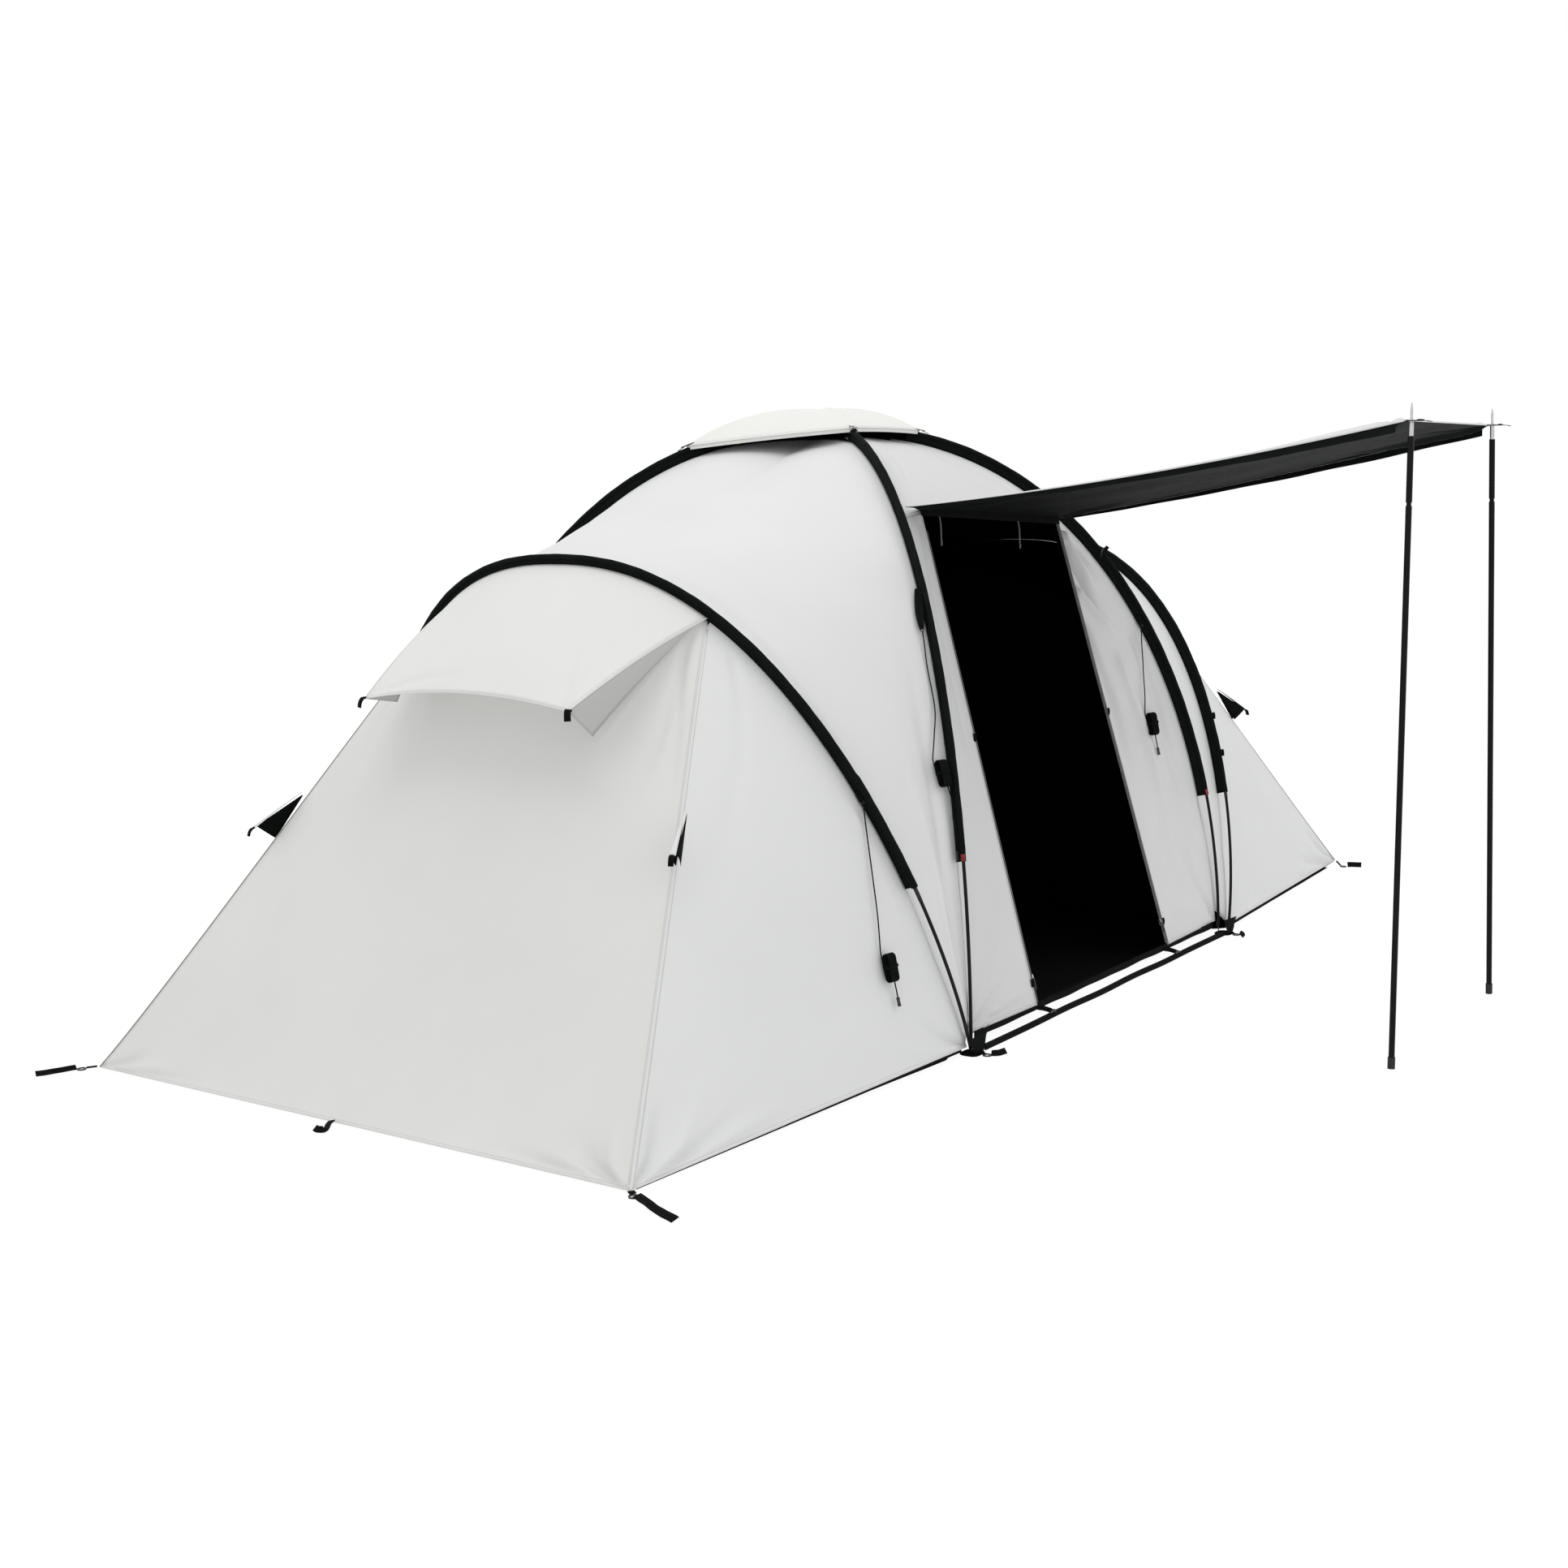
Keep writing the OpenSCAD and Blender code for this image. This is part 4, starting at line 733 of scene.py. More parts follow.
# ------------------------------------------------------------------ poles
def pole_mesh(name, mid, T, node, body="tent"):
    b = Build()
    ths = np.linspace(-T, T, 161)
    C = np.array([mid(t) for t in ths])
    tube(b, C, 5.5, 14)
    per = 160 // 8
    for j in range(1, 8):
        i = j * per
        seg = [C[i] + (C[i - 1] - C[i]) * x for x in ()]
        d = unit(C[i + 1] - C[i - 1])
        pts = [C[i] - d * x for x in (70, 69, 40, 2, 0)]
        L = travel(C)
        # the steel ferrule follows the pole's own curve
        idx = [k for k in range(len(C)) if L[i] - 72 <= L[k] <= L[i] + 1]
        pts = [C[k] for k in idx]
        if len(pts) >= 2:
            tube(b, np.array(pts), 6.3, 14, mat=1)
    return b.obj(name, [FIBRE, FERRULE], replaces=[node], slot="glass_fibre")


pole_mesh("cross_pole_a", lambda t: cross_mid(t, 1), CT, "cross_pole_left")
pole_mesh("cross_pole_b", lambda t: cross_mid(t, -1), CT, "cross_pole_right")
pole_mesh("arch_pole_a", lambda t: arch_mid(t, -1), AT, "arch_pole_left")
pole_mesh("arch_pole_b", lambda t: arch_mid(t, 1), AT, "arch_pole_right")
b = Build()
for mid, T in ((lambda t: cross_mid(t, 1), 84), (lambda t: cross_mid(t, -1), 84), (lambda t: arch_mid(t, -1), 84), (lambda t: arch_mid(t, 1), 84)):
    tube(b, np.array([mid(t) for t in np.linspace(-T, T, 121)]), 1.5, 6)
b.obj("pole_elastic", [ELASTIC], replaces=["shock_cords"], slot="elastic")

# ------------------------------------------------------------------ sleeves
SPROF = [(-35.0, 0.9), (-24, 1.0), (-14.5, 1.15), (-12.5, 0.9), (-10.5, 1.3), (-8.3, 3.6), (-5.2, 6.9), (-1.5, 8.6), (2.2, 8.8), (5.6, 7.2), (8.0, 4.3), (9.0, 1.5)]
SPROF = SPROF + [(u_, -v_) for u_, v_ in SPROF[::-1]]


def sleeve(b, mid, outd, T, s0, s1, seed, red=(False, False), wide=None):
    th0, th1 = (-T + 2 * T * s / N for s in (s0, s1))
    n = max(24, int(abs(s1 - s0) * 9))
    ths = np.linspace(th0, th1, n + 1)
    C = np.array([mid(t) for t in ths])
    O = np.array([outd(t) for t in ths])
    d = unit(np.gradient(C, axis=0))
    u = unit(O - d * (O * d).sum(1, keepdims=True))
    v = -np.cross(d, u)
    L = travel(C)
    g = np.random.default_rng(seed)
    ph = g.uniform(0, 6.28, 6)
    puck = 0.035 * np.sin(L / 17 + ph[0]) + 0.03 * np.sin(L / 41 + ph[1]) + 0.02 * np.sin(L / 8.3 + ph[2])
    lean = 0.5 * np.sin(L / 53 + ph[3])
    end = np.minimum(L, L[-1] - L)
    fat = 1 + puck + 0.10 * np.exp(-((end - 9) / 9) ** 2)
    if wide is not None:
        # the sleeve's lower stretch is a second, wider layer that starts with a flare
        fat = fat * np.where(ths < wide, 1.15 + 0.16 * np.exp(-((ths - wide) / 1.1) ** 2), 1.0)
    gaps = np.array([skin_in(t) - 4 for t in ths])

    def ring(i, k=1.0, shift=0.0):
        pts = []
        for (pu, pv) in SPROF:
            if pu < -10:
                w = (pu + 10.5) / -24.5
                qu = -10.5 - w * (gaps[i] - 10.5 + 1.0)
                pts.append(C[i] + d[i] * shift + u[i] * qu + v[i] * (pv * 1.0 + lean[i] * (1 - w)))
            else:
                pts.append(C[i] + d[i] * shift + u[i] * pu * fat[i] * k + v[i] * (pv * fat[i] * k))
        return pts

    def uvs(i):
        return [(L[i] / 1000, pu / 1000) for (pu, pv) in SPROF]

    R, U = [], []
    for i in range(n + 1):
        R.append(ring(i))
        U += uvs(i)
    # open ends: the cloth turns in round the pole
    R = [ring(0, 0.78, 9), ring(0, 0.80, 0.4)] + R + [ring(n, 0.80, -0.4), ring(n, 0.78, -9)]
    U = uvs(0) * 2 + U + uvs(n) * 2
    m_ = len(R) - 1
    k = len(SPROF)
    rings = np.array(R).reshape(-1, 3)
    F = loft_faces(m_, k)
    mats = np.zeros(len(F), int)
    for side, on in zip((0, 1), red):
        if on:
            rows = range(2, 3) if side == 0 else range(m_ - 3, m_ - 2)
            for r in rows:
                for j in range(k):
                    if 7 <= j <= 11:
                        mats[r * k + j] = 1
    # rings run u then v with v = -(d x u): turned outward here
    F = [f[::-1] for f in F]
    b.add(rings, F, mats, U)


def two(name, k, spans, node, seed, reds):
    b = Build()
    for i, (s0, s1) in enumerate(spans):
        sleeve(b, lambda t: cross_mid(t, k), lambda t: cross_out(t, k), CT, s0, s1, seed + i, reds[i])
    return b.obj(name, [SLEEVE_M, RED], replaces=[node], slot="black_webbing")


two("cross_sleeve_a", 1, [(2.8, 13.9), (18.4, 29.2)], "cross_sleeve_left", 5, [(True, False), (False, True)])
two("cross_sleeve_b", -1, [(2.6, 13.9), (18.4, 29.4)], "cross_sleeve_right", 15, [(True, False), (False, True)])
b = Build()
sleeve(b, lambda t: arch_mid(t, -1), lambda t: arch_out(t, -1), AT, 3.9, 28.1, 25, wide=-53.4)
b.obj("arch_sleeve_a", [SLEEVE_M, RED], replaces=["arch_sleeve_left"], slot="black_webbing")
b = Build()
sleeve(b, lambda t: arch_mid(t, 1), lambda t: arch_out(t, 1), AT, 3.75, 28.25, 35)
b.obj("arch_sleeve_b", [SLEEVE_M, RED], replaces=["arch_sleeve_right"], slot="black_webbing")


# ------------------------------------------------------------------ flysheet
def panel(name, grids, mats, node, slot, t=1.2, edge_sides=(1, 1, 1, 1), more=()):
    """One cloth piece from one or more grids."""
    b = Build()
    for g in grids:
        P, mir = g if isinstance(g, tuple) else (g, (1, 1))
        shell(b, P, t, (0, 1), mir, edge_sides)
    for f in more:
        f(b)
    ob = b.obj(name, mats, replaces=[node] if node else [], slot=slot)
    return ob


door_bl, door_br = V(-532, -1148, 50), V(496, -1148, 50)
door_tl, door_tr = V(-446, -672, 1636), V(468, -705, 1590)
P0, PT = cross_skin(-88.5, 1), cross_skin(-35.4, 1)


def front_edges(th):
    p = cross_skin(-th, 1)
    X = -p[0] - 0.6
    q = (p[2] - P0[2]) / (PT[2] - P0[2])
    g = X / (-PT[0] - 4)
    side, far = V(-X, p[1], p[2]), V(X, p[1], p[2])
    if th >= 35.4:
        return side, lerp(door_bl, door_tl, q), lerp(door_br, door_tr, q), far
    return side, side + (door_tl - V(4 + PT[0], PT[1], PT[2])) * g, far + (door_tr - V(-PT[0] - 4, PT[1], PT[2])) * g, far


def rows_to_grid(ths, pair, cols):
    return np.array([[lerp(a, c, s) for s in cols] for a, c in (pair(t) for t in ths)])


# rows from the top down, as the shells' outside needs
th_low = 35.4 + (88.5 - 35.4) * dense(110, 0.3)
cols = dense(34, 0.4)
PL = rows_to_grid(th_low, lambda t: (front_edges(t)[0], front_edges(t)[1]), cols)
PR = rows_to_grid(th_low, lambda t: (front_edges(t)[2], front_edges(t)[3]), cols)
th_top = 9.4 + (35.4 - 9.4) * dense(50, 0.3)
PCt = np.concatenate([
    rows_to_grid(th_top, lambda t: (front_edges(t)[0], front_edges(t)[1]), np.linspace(0, 1, 18))[:, :-1],
    rows_to_grid(th_top, lambda t: (front_edges(t)[1], front_edges(t)[2]), np.linspace(0, 1, 41))[:, :-1],
    rows_to_grid(th_top, lambda t: (front_edges(t)[2], front_edges(t)[3]), np.linspace(0, 1, 18))], axis=1)


def at_uv(P, pts, n=14):
    """Line over a grid through (row share, column share) points."""
    pts = np.asarray(pts, float)
    t = np.linspace(0, len(pts) - 1, n)
    out = []
    for x in t:
        i = min(int(x), len(pts) - 2)
        r, c = pts[i] + (pts[i + 1] - pts[i]) * (x - i)
        fr, fc = r * (P.shape[0] - 1), c * (P.shape[1] - 1)
        i0, j0 = min(int(fr), P.shape[0] - 2), min(int(fc), P.shape[1] - 2)
        a, c2 = fr - i0, fc - j0
        out.append((P[i0, j0] * (1 - a) + P[i0 + 1, j0] * a) * (1 - c2) + (P[i0, j0 + 1] * (1 - a) + P[i0 + 1, j0 + 1] * a) * c2)
    return np.array(out)


def dress(P, folds, wave=(2.0, 260, 1), sag=0.0, fade_w=40.0, sides=(1, 1, 1, 1), sign=1, gain=1.9):
    """The grid moved along its normals by folds, waves and a slack inward belly."""
    Nn = grid_normals(P) * sign
    h = waves(P, *wave) * edge_fade(P, fade_w, sides)
    r = np.linspace(0, 1, P.shape[0])[:, None]
    c = np.linspace(0, 1, P.shape[1])[None, :]
    h = h - sag * 16 * r * (1 - r) * c * (1 - c)
    f = np.zeros(P.shape[:2])
    for pts, a, w0, w1 in folds:
        f += fold(P, at_uv(P, pts), a * gain, w0, w1)
    h = h + f * edge_fade(P, 12.0, sides)
    return P + Nn * h[..., None]


def outside(P, away):
    """The grid turned so that its normals look away from a point inside."""
    nn = grid_normals(P)
    if ((P - V(*away)) * nn).sum() < 0:
        P = P[:, ::-1]
    return P


INSIDE = (0, 0, 600)
PL, PR, PCt = outside(PL, INSIDE), outside(PR, INSIDE), outside(PCt, INSIDE)
# which column is the door edge after turning: left panel's door edge and right panel's door edge
left_door_last = abs(PL[-1, -1, 0] - door_bl[0]) < 5
right_door_last = abs(PR[-1, -1, 0] - door_br[0]) < 5


def L_(c):
    return c if left_door_last else 1 - c


def R_(c):
    return c if right_door_last else 1 - c


left_folds = [
    ([(0.995, L_(0.0)), (0.86, L_(0.45)), (0.72, L_(0.8))], 6, 10, 34),
    ([(0.99, L_(0.02)), (0.93, L_(0.5)), (0.90, L_(0.98))], -5, 9, 26),
    ([(0.99, L_(0.05)), (0.965, L_(0.5)), (0.955, L_(1.0))], 5, 8, 18),
    ([(0.98, L_(0.0)), (0.80, L_(0.22)), (0.60, L_(0.42))], -4, 10, 30),
    ([(0.985, L_(0.25)), (0.975, L_(0.7)), (0.985, L_(1.0))], -4, 9, 14),
    ([(0.0, L_(0.9)), (0.3, L_(0.75)), (0.6, L_(0.7))], -4, 12, 26),
]
right_folds = [
    ([(0.02, R_(0.85)), (0.14, R_(0.42)), (0.26, R_(0.18))], -13, 12, 20),
    ([(0.04, R_(0.95)), (0.18, R_(0.62)), (0.30, R_(0.40))], 9, 10, 22),
    ([(0.10, R_(0.95)), (0.22, R_(0.70)), (0.36, R_(0.55))], -10, 9, 20),
    ([(0.24, R_(0.98)), (0.30, R_(0.7)), (0.40, R_(0.35))], 7, 10, 24),
    ([(0.32, R_(0.95)), (0.48, R_(0.82)), (0.70, R_(0.84))], -7, 12, 26),
    ([(0.40, R_(0.55)), (0.62, R_(0.5)), (0.9, R_(0.55))], 5, 18, 34),
    ([(0.36, R_(0.2)), (0.6, R_(0.28)), (0.85, R_(0.2))], -5, 16, 30),
    ([(0.995, R_(0.0)), (0.88, R_(0.3)), (0.72, R_(0.5))], -5, 10, 26),
    ([(0.99, R_(0.1)), (0.95, R_(0.6)), (0.94, R_(1.0))], 4, 8, 18),
]
PLd = dress(PL, left_folds, (2.2, 240, 11), 5, gain=2.6)
PRd = dress(PR, right_folds, (3.2, 170, 12), 8, gain=2.9)
PCd = dress(PCt, [([(0.98, 0.2), (0.5, 0.3), (0.1, 0.42)], -3, 14, 30), ([(0.98, 0.8), (0.5, 0.7), (0.1, 0.6)], -3, 14, 30)], (2.0, 260, 13), 3)
# the front panels take the darker copies of the white cloth: painted shade
panel("front_left_panel", [PLd], [FRONT_SHADED, LINING], "front_wall", "fly_white")
panel("front_right_panel", [PRd], [FRONT_RIGHT_SHADED, LINING], None, "fly_white")
panel("front_head_panel", [PCd], [FRONT_SHADED, LINING], None, "fly_white")

PB = np.array([[V(u * (-cross_skin(-t, 1)[0] - 0.6), -cross_skin(-t, 1)[1], cross_skin(-t, 1)[2]) for u in np.linspace(-1, 1, 81)]
               for t in 9.4 + (88.5 - 9.4) * dense(120, 0.3)])
PB = outside(PB, INSIDE)
back_folds = [([(0.995, 0.01), (0.86, 0.16), (0.7, 0.24)], 6, 10, 36), ([(0.99, 0.01), (0.93, 0.2), (0.9, 0.36)], -5, 9, 28),
              ([(0.995, 0.99), (0.86, 0.84), (0.7, 0.76)], 6, 10, 36), ([(0.99, 0.99), (0.93, 0.8), (0.9, 0.64)], -5, 9, 28),
              ([(0.02, 0.3), (0.3, 0.34), (0.6, 0.3)], -4, 24, 50), ([(0.02, 0.7), (0.3, 0.66), (0.6, 0.7)], -4, 24, 50)]
panel("back_panel", [dress(PB, back_folds, (2.6, 300, 21), 8)], [WHITE, LINING], "back_wall", "fly_white")


def mesh_v(th):
    return 0.035 * max(0.0, 1 - (abs(th) / 14) ** 2)


def roof_grid(e):
    rows = []
    for th in np.linspace(-87.3, 87.3, 151):
        a, c = side_skin(th, e), arch_skin(th, e)
        w = 0.6 / np.linalg.norm(a - c)
        v0 = max(w, mesh_v(th) + w)
        rows.append([lerp(a, c, v) for v in v0 + (1 - w - v0) * dense(60, 0.3)])
    return np.array(rows)


for e, nm, node, seed in ((-1, "roof_panel_a", "left_roof", 31), (1, "roof_panel_b", "right_roof", 33)):
    P = outside(roof_grid(e), INSIDE)
    flipc = (lambda c: c) if abs(P[75, 0, 0]) < abs(P[75, -1, 0]) else (lambda c: 1 - c)
    fr = [([(0.01, flipc(0.6)), (0.10, flipc(0.5)), (0.2, flipc(0.45))], 5, 10, 30),
          ([(0.01, flipc(0.4)), (0.12, flipc(0.3)), (0.24, flipc(0.2))], -5, 10, 30),
          ([(0.99, flipc(0.6)), (0.90, flipc(0.5)), (0.8, flipc(0.45))], 5, 10, 30),
          ([(0.99, flipc(0.4)), (0.88, flipc(0.3)), (0.76, flipc(0.2))], -5, 10, 30),
          ([(0.2, flipc(0.92)), (0.35, flipc(0.9)), (0.5, flipc(0.92))], -3, 14, 20)]
    panel(nm, [dress(P, fr, (2.4, 330, seed), 14, 50)], [ROOF_LIT, LINING], node, "fly_white")

# corner seams, end walls and low bedroom walls
CUT = 28
SEAM_TOP = arch_skin(-CUT, -1) + V(-35, -18, -25)
SEAM_MID = [V(-2306, -930, 142), V(-2345, -958, 176), V(-2400, -940, 240), V(-2350, -930, 190)]
SEAM_PULL = [V(-12, -9, -3), V(0, 21, -3), V(-31, 0, 21), V(-16, 0, 1)]


def seam(t, c):
    return (SEAM_TOP * (1 - t) ** 2 + SEAM_MID[c] * 2 * t * (1 - t) + (V(-EX, -EY, 7) + SEAM_PULL[c]) * t * t
            + (arch_skin(-CUT, -1) - SEAM_TOP) * (1 - t) ** 8)


FLIPY = V(1, -1, 1)


def end_grid(c, n=110, k=100):
    ts = 0.0008 + 0.9992 * dense(n, 0.5)
    us = -1 + 2 * dense(k, 0.5)
    arch = [arch_skin(CUT * u, -1) for u in us]
    a0, a1 = arch_skin(-CUT, -1), arch_skin(CUT, -1)
    rows = []
    for t in ts:
        s0, s1 = seam(t, c), seam(t, c + 1) * FLIPY
        rows.append([lerp(s0, s1, (u + 1) / 2) + (arch[j] - lerp(a0, a1, (u + 1) / 2)) * (1 - t) ** 2.5 for j, u in enumerate(us)])
    return np.array(rows)


def mirror_of(c):
    return (-1 if c > 1 else 1, -1 if c % 2 else 1)


for c, nm, node in ((0, "end_wall_a", "left_end_wall"), (2, "end_wall_b", "right_end_wall")):
    P = outside(end_grid(c), (-1400, 0, 300))
    front0 = P[-1, 0, 1] < P[-1, -1, 1]
    q = (lambda s: s) if front0 else (lambda s: 1 - s)
    ef = [
        ([(1.0, q(0.0)), (0.86, q(0.055)), (0.70, q(0.07))], 9, 8, 30),
        ([(1.0, q(0.005)), (0.88, q(0.10)), (0.74, q(0.15))], -8, 8, 32),
        ([(1.0, q(0.008)), (0.92, q(0.13)), (0.82, q(0.22))], 7, 8, 32),
        ([(1.0, q(0.01)), (0.95, q(0.16)), (0.90, q(0.30))], -6, 8, 30),
        ([(1.0, q(0.012)), (0.975, q(0.17)), (0.955, q(0.34))], 4, 7, 24),
        ([(1.0, q(1.0)), (0.90, q(0.93)), (0.80, q(0.88))], -7, 8, 30),
        ([(1.0, q(0.995)), (0.93, q(0.88)), (0.86, q(0.80))], 7, 8, 32),
        ([(1.0, q(0.992)), (0.965, q(0.84)), (0.93, q(0.70))], -6, 8, 30),
        ([(1.0, q(0.99)), (0.985, q(0.85)), (0.975, q(0.72))], 4, 7, 22),
        ([(0.30, q(0.82)), (0.6, q(0.80)), (0.95, q(0.77))], 2.2, 5, 5),
        ([(0.30, q(0.30)), (0.6, q(0.31)), (0.95, q(0.33))], 1.6, 5, 5),
        ([(0.02, q(0.06)), (0.2, q(0.12)), (0.36, q(0.22))], -5, 10, 30),
        ([(0.03, q(0.10)), (0.22, q(0.06)), (0.4, q(0.05))], -4, 10, 24),
        ([(0.02, q(0.94)), (0.2, q(0.88)), (0.36, q(0.78))], -4, 10, 30),
    ]
    P = dress(P, ef, (2.6, 340, 41 + c), 8, 60)
    panel(nm, [(P, (-1 if c else 1, 1))], [CREAM, LINING], node, "fly_cream")

for c, nm, node in ((0, "side_wall_af", "left_front_side"), (1, "side_wall_ab", "left_back_side"), (2, "side_wall_bf", "right_front_side"), (3, "side_wall_bb", "right_back_side")):
    ws = 0.006 + 0.994 * dense(110, 0.4)
    P = np.array([[lerp(arch_skin(-(CUT + (88.2 - CUT) * w), -1), seam(w, c), v) for v in 0.0006 + 0.9988 * dense(60, 0.4)] for w in ws])
    P = outside(P, (-1400, 0, 300))
    seam_last = P[-1, -1, 0] < P[-1, 0, 0]
    q = (lambda s: s) if seam_last else (lambda s: 1 - s)
    sf = [
        ([(1.0, q(1.0)), (0.86, q(0.93)), (0.66, q(0.90))], -9, 8, 26),
        ([(1.0, q(0.995)), (0.88, q(0.85)), (0.70, q(0.76))], 8, 8, 30),
        ([(1.0, q(0.99)), (0.91, q(0.78)), (0.80, q(0.62))], -7, 8, 30),
        ([(1.0, q(0.985)), (0.94, q(0.72)), (0.88, q(0.52))], 5, 8, 28),
        ([(1.0, q(0.98)), (0.975, q(0.72)), (0.95, q(0.5))], -4, 7, 24),
        ([(1.0, q(0.0)), (0.90, q(0.12)), (0.76, q(0.2))], -6, 8, 24),
        ([(1.0, q(0.01)), (0.93, q(0.22)), (0.84, q(0.34))], 5, 8, 26),
        ([(0.45, q(0.06)), (0.7, q(0.09)), (0.97, q(0.05))], 2.0, 4.5, 4.5),
        ([(0.10, q(0.2)), (0.3, q(0.5)), (0.45, q(0.8))], -3, 14, 40),
    ]
    P = dress(P, sf, (2.6, 260, 51 + c), 7, 50)
    panel(nm, [(P, mirror_of(c))], [WHITE, LINING], node, "fly_white")

# felled seams along the corners, a raised double strip
for c in range(4):
    b = Build()
    S = np.array([seam(t, c) for t in np.linspace(0.01, 0.995, 90)])
    outd = unit(S - V(-1400, 0, 200))
    ribbon(b, S + outd * 0.5, outd, 8.0, 1.0, mirror=mirror_of(c), raw=True)
    b.obj("corner_seam_%d" % c, [[CREAM, CREAM, CREAM, CREAM][c]], slot="fly_cream")

# seams are bound on the inside with a black tape
b = Build()
for e in (-1, 1):
    ths_ = np.linspace(-87.0, 87.0, 150)
    O_ = A([arch_out(t, e) for t in ths_])
    ribbon(b, A([arch_skin(t, e) for t in ths_]) - O_ * 3.4, O_, 11, 0.8, raw=True)
    for sgn in (-1, 1):
        ths_ = sgn * np.linspace(11.0, 87.0, 90)
        O_ = A([cross_out(t, -e if t < 0 else e) for t in ths_])
        ribbon(b, A([side_skin(t, e) for t in ths_]) - O_ * 3.4, O_, 11, 0.8, raw=True)
b.obj("inner_seam_tapes", [LINING], slot="black_webbing")

# ------------------------------------------------------------------ mesh at the top and the rain cap
g1 = []
for e in (-1, 1):
    P = np.array([[lerp(side_skin(th, e), arch_skin(th, e), v) for v in np.linspace(0.001, max(mesh_v(th), 0.003), 8)] for th in np.linspace(-12, 12, 33)])
    g1.append(outside(P, INSIDE))
for f in (-1, 1):
    P = np.array([[V(u * (-cross_skin(-t, 1)[0] - 0.6), cross_skin(-t, 1)[1], cross_skin(-t, 1)[2]) * V(1, -f, 1) for u in np.linspace(-1, 1, 17)] for t in np.linspace(1.2, 9.6, 13)])
    g1.append(outside(P, INSIDE))
for i_, g_ in enumerate(g1):
    panel("roof_mesh_%s" % ("left", "right", "front", "back")[i_], [g_], [MESH, MESH], "roof_mesh" if i_ == 0 else None, "insect_mesh", t=0.6)

CAPF, CAPB = 13.4, 19.5


def cap_corner(i):
    th = -CAPF if i < 2 else CAPB
    k = 1 if i in (0, 2) else -1
    return cross_mid(th, k) + V(0, 0, 17)


CAP_TOP = V(-12, 0, 2003)
CC = [cap_corner(0), cap_corner(1), cap_corner(2), cap_corner(3)]


def cap_rim(q):
    i = min(3, int(q))
    t = q - i
    a, c2 = CC[i], CC[(i + 1) % 4]
    return lerp(a, c2, t) + V(0, 0, 16 * t * (1 - t))


def cap_pt(q, r):
    e = cap_rim(q % 4)
    p = lerp(CAP_TOP, e, r)
    z = CAP_TOP[2] + (e[2] - CAP_TOP[2]) * r**2.3 + 16 * r * (1 - r)
    # creases run from the top to the corners, with slack cloth between them
    t = (q % 1.0)
    dq = min(t, 1 - t)
    z += 5.0 * math.exp(-((dq / 0.06) ** 2)) * 4 * r * (1 - r) - 5.0 * math.sin(math.pi * t) ** 2 * 4 * r * (1 - r)
    return V(p[0], p[1], z)


NQ, NR = 128, 26
rr_ = np.linspace(0.02, 1, NR)
b = Build()
ring = np.array([[cap_pt(4 * j / NQ, r) for j in range(NQ)] for r in rr_])
top = np.vstack([[CAP_TOP + V(0, 0, 0.5)], ring.reshape(-1, 3)])
low = top - V(0, 0, 1.4)
K = len(top)


def cid(r, j):
    return 1 + r * NQ + (j % NQ)


F, M = [], []
# the rim runs clockwise or not; the sign of its turn decides which way the faces look
turn_z = np.cross(CC[0] - CAP_TOP, CC[1] - CAP_TOP)[2]
for j in range(NQ):
    f1, f2 = [0, cid(0, j), cid(0, j + 1)], [K, K + cid(0, j + 1), K + cid(0, j)]
    F += [f1, f2]
    M += [0, 1]
for r in range(NR - 1):
    for j in range(NQ):
        a, c2, d2, e2 = cid(r, j), cid(r, j + 1), cid(r + 1, j + 1), cid(r + 1, j)
        F += [[a, e2, d2, c2], [K + a, K + c2, K + d2, K + e2]]
        M += [0, 1]
for j in range(NQ):
    a, c2 = cid(NR - 1, j), cid(NR - 1, j + 1)
    F.append([a, K + a, K + c2, c2])
    M.append(0)
if turn_z < 0:
    F = [f[::-1] for f in F]
ed = np.concatenate([[1.0], np.repeat((1 - rr_) * 0.35, NQ)])
uvc = np.vstack([[[0, 0]], ring.reshape(-1, 3)[:, :2] / 1000])
b.add(np.vstack([top, low]), F, M, np.vstack([uvc, uvc]), np.concatenate([ed, np.full(K, 1.0)]))
cap = b.obj("rain_cap", [CAP, LINING], replaces=["roof_cap"], slot="fly_white")
# hem tape round the cap and a buckle at each of its corners
b = Build()
rim = np.array([cap_pt(4 * j / NQ, 1.0) for j in range(NQ + 1)])
outw = unit((rim - CAP_TOP) * V(1, 1, 0))
ribbon(b, rim + V(0, 0, -1.0), outw * 0.4 + V(0, 0, 1), 9, 2.2, raw=True)
ribbon(b, rim + outw * 0.6 + V(0, 0, -8.0), outw, 16, 1.3, raw=True)
b.obj("rain_cap_hem", [CAP], slot="fly_white")
b = Build()
cur = A([cap_pt(q_, 0.97) for q_ in np.linspace(1.0, 3.0, 90)])
outw = unit((cur - CAP_TOP) * V(1, 1, 0))
ribbon(b, cur + V(0, 0, -27.0), outw, 46, 0.7, raw=True)
b.obj("rain_cap_mesh_skirt", [MESH], slot="insect_mesh")
b = Build()
for i in range(4):
    th = -CAPF if i < 2 else CAPB
    k = 1 if i in (0, 2) else -1
    sg = -1 if i < 2 else 1
    o = cross_out(th, k)
    t0 = cross_tan(th, k) * sg
    sd = np.cross(t0, o)
    c0 = CC[i]
    pts = [c0 - t0 * 26 + V(0, 0, 1.5), c0 + t0 * 2 + V(0, 0, 1.5), c0 + t0 * 22 + o * -3, c0 + t0 * 38 - o * 6]
    ribbon(b, pts, o, 16, 1.8, mat=0)
    fr_ = [c0 + t0 * 12 + o * 1.5 + sd * x + t0 * y for x, y in ((-12, -8), (12, -8), (12, 8), (-12, 8), (-12, -8))]
    tube(b, cat(fr_, 4), 2.2, 8, mat=1)
b.obj("rain_cap_buckles", [WEB, ZIPMETAL], auto=50)

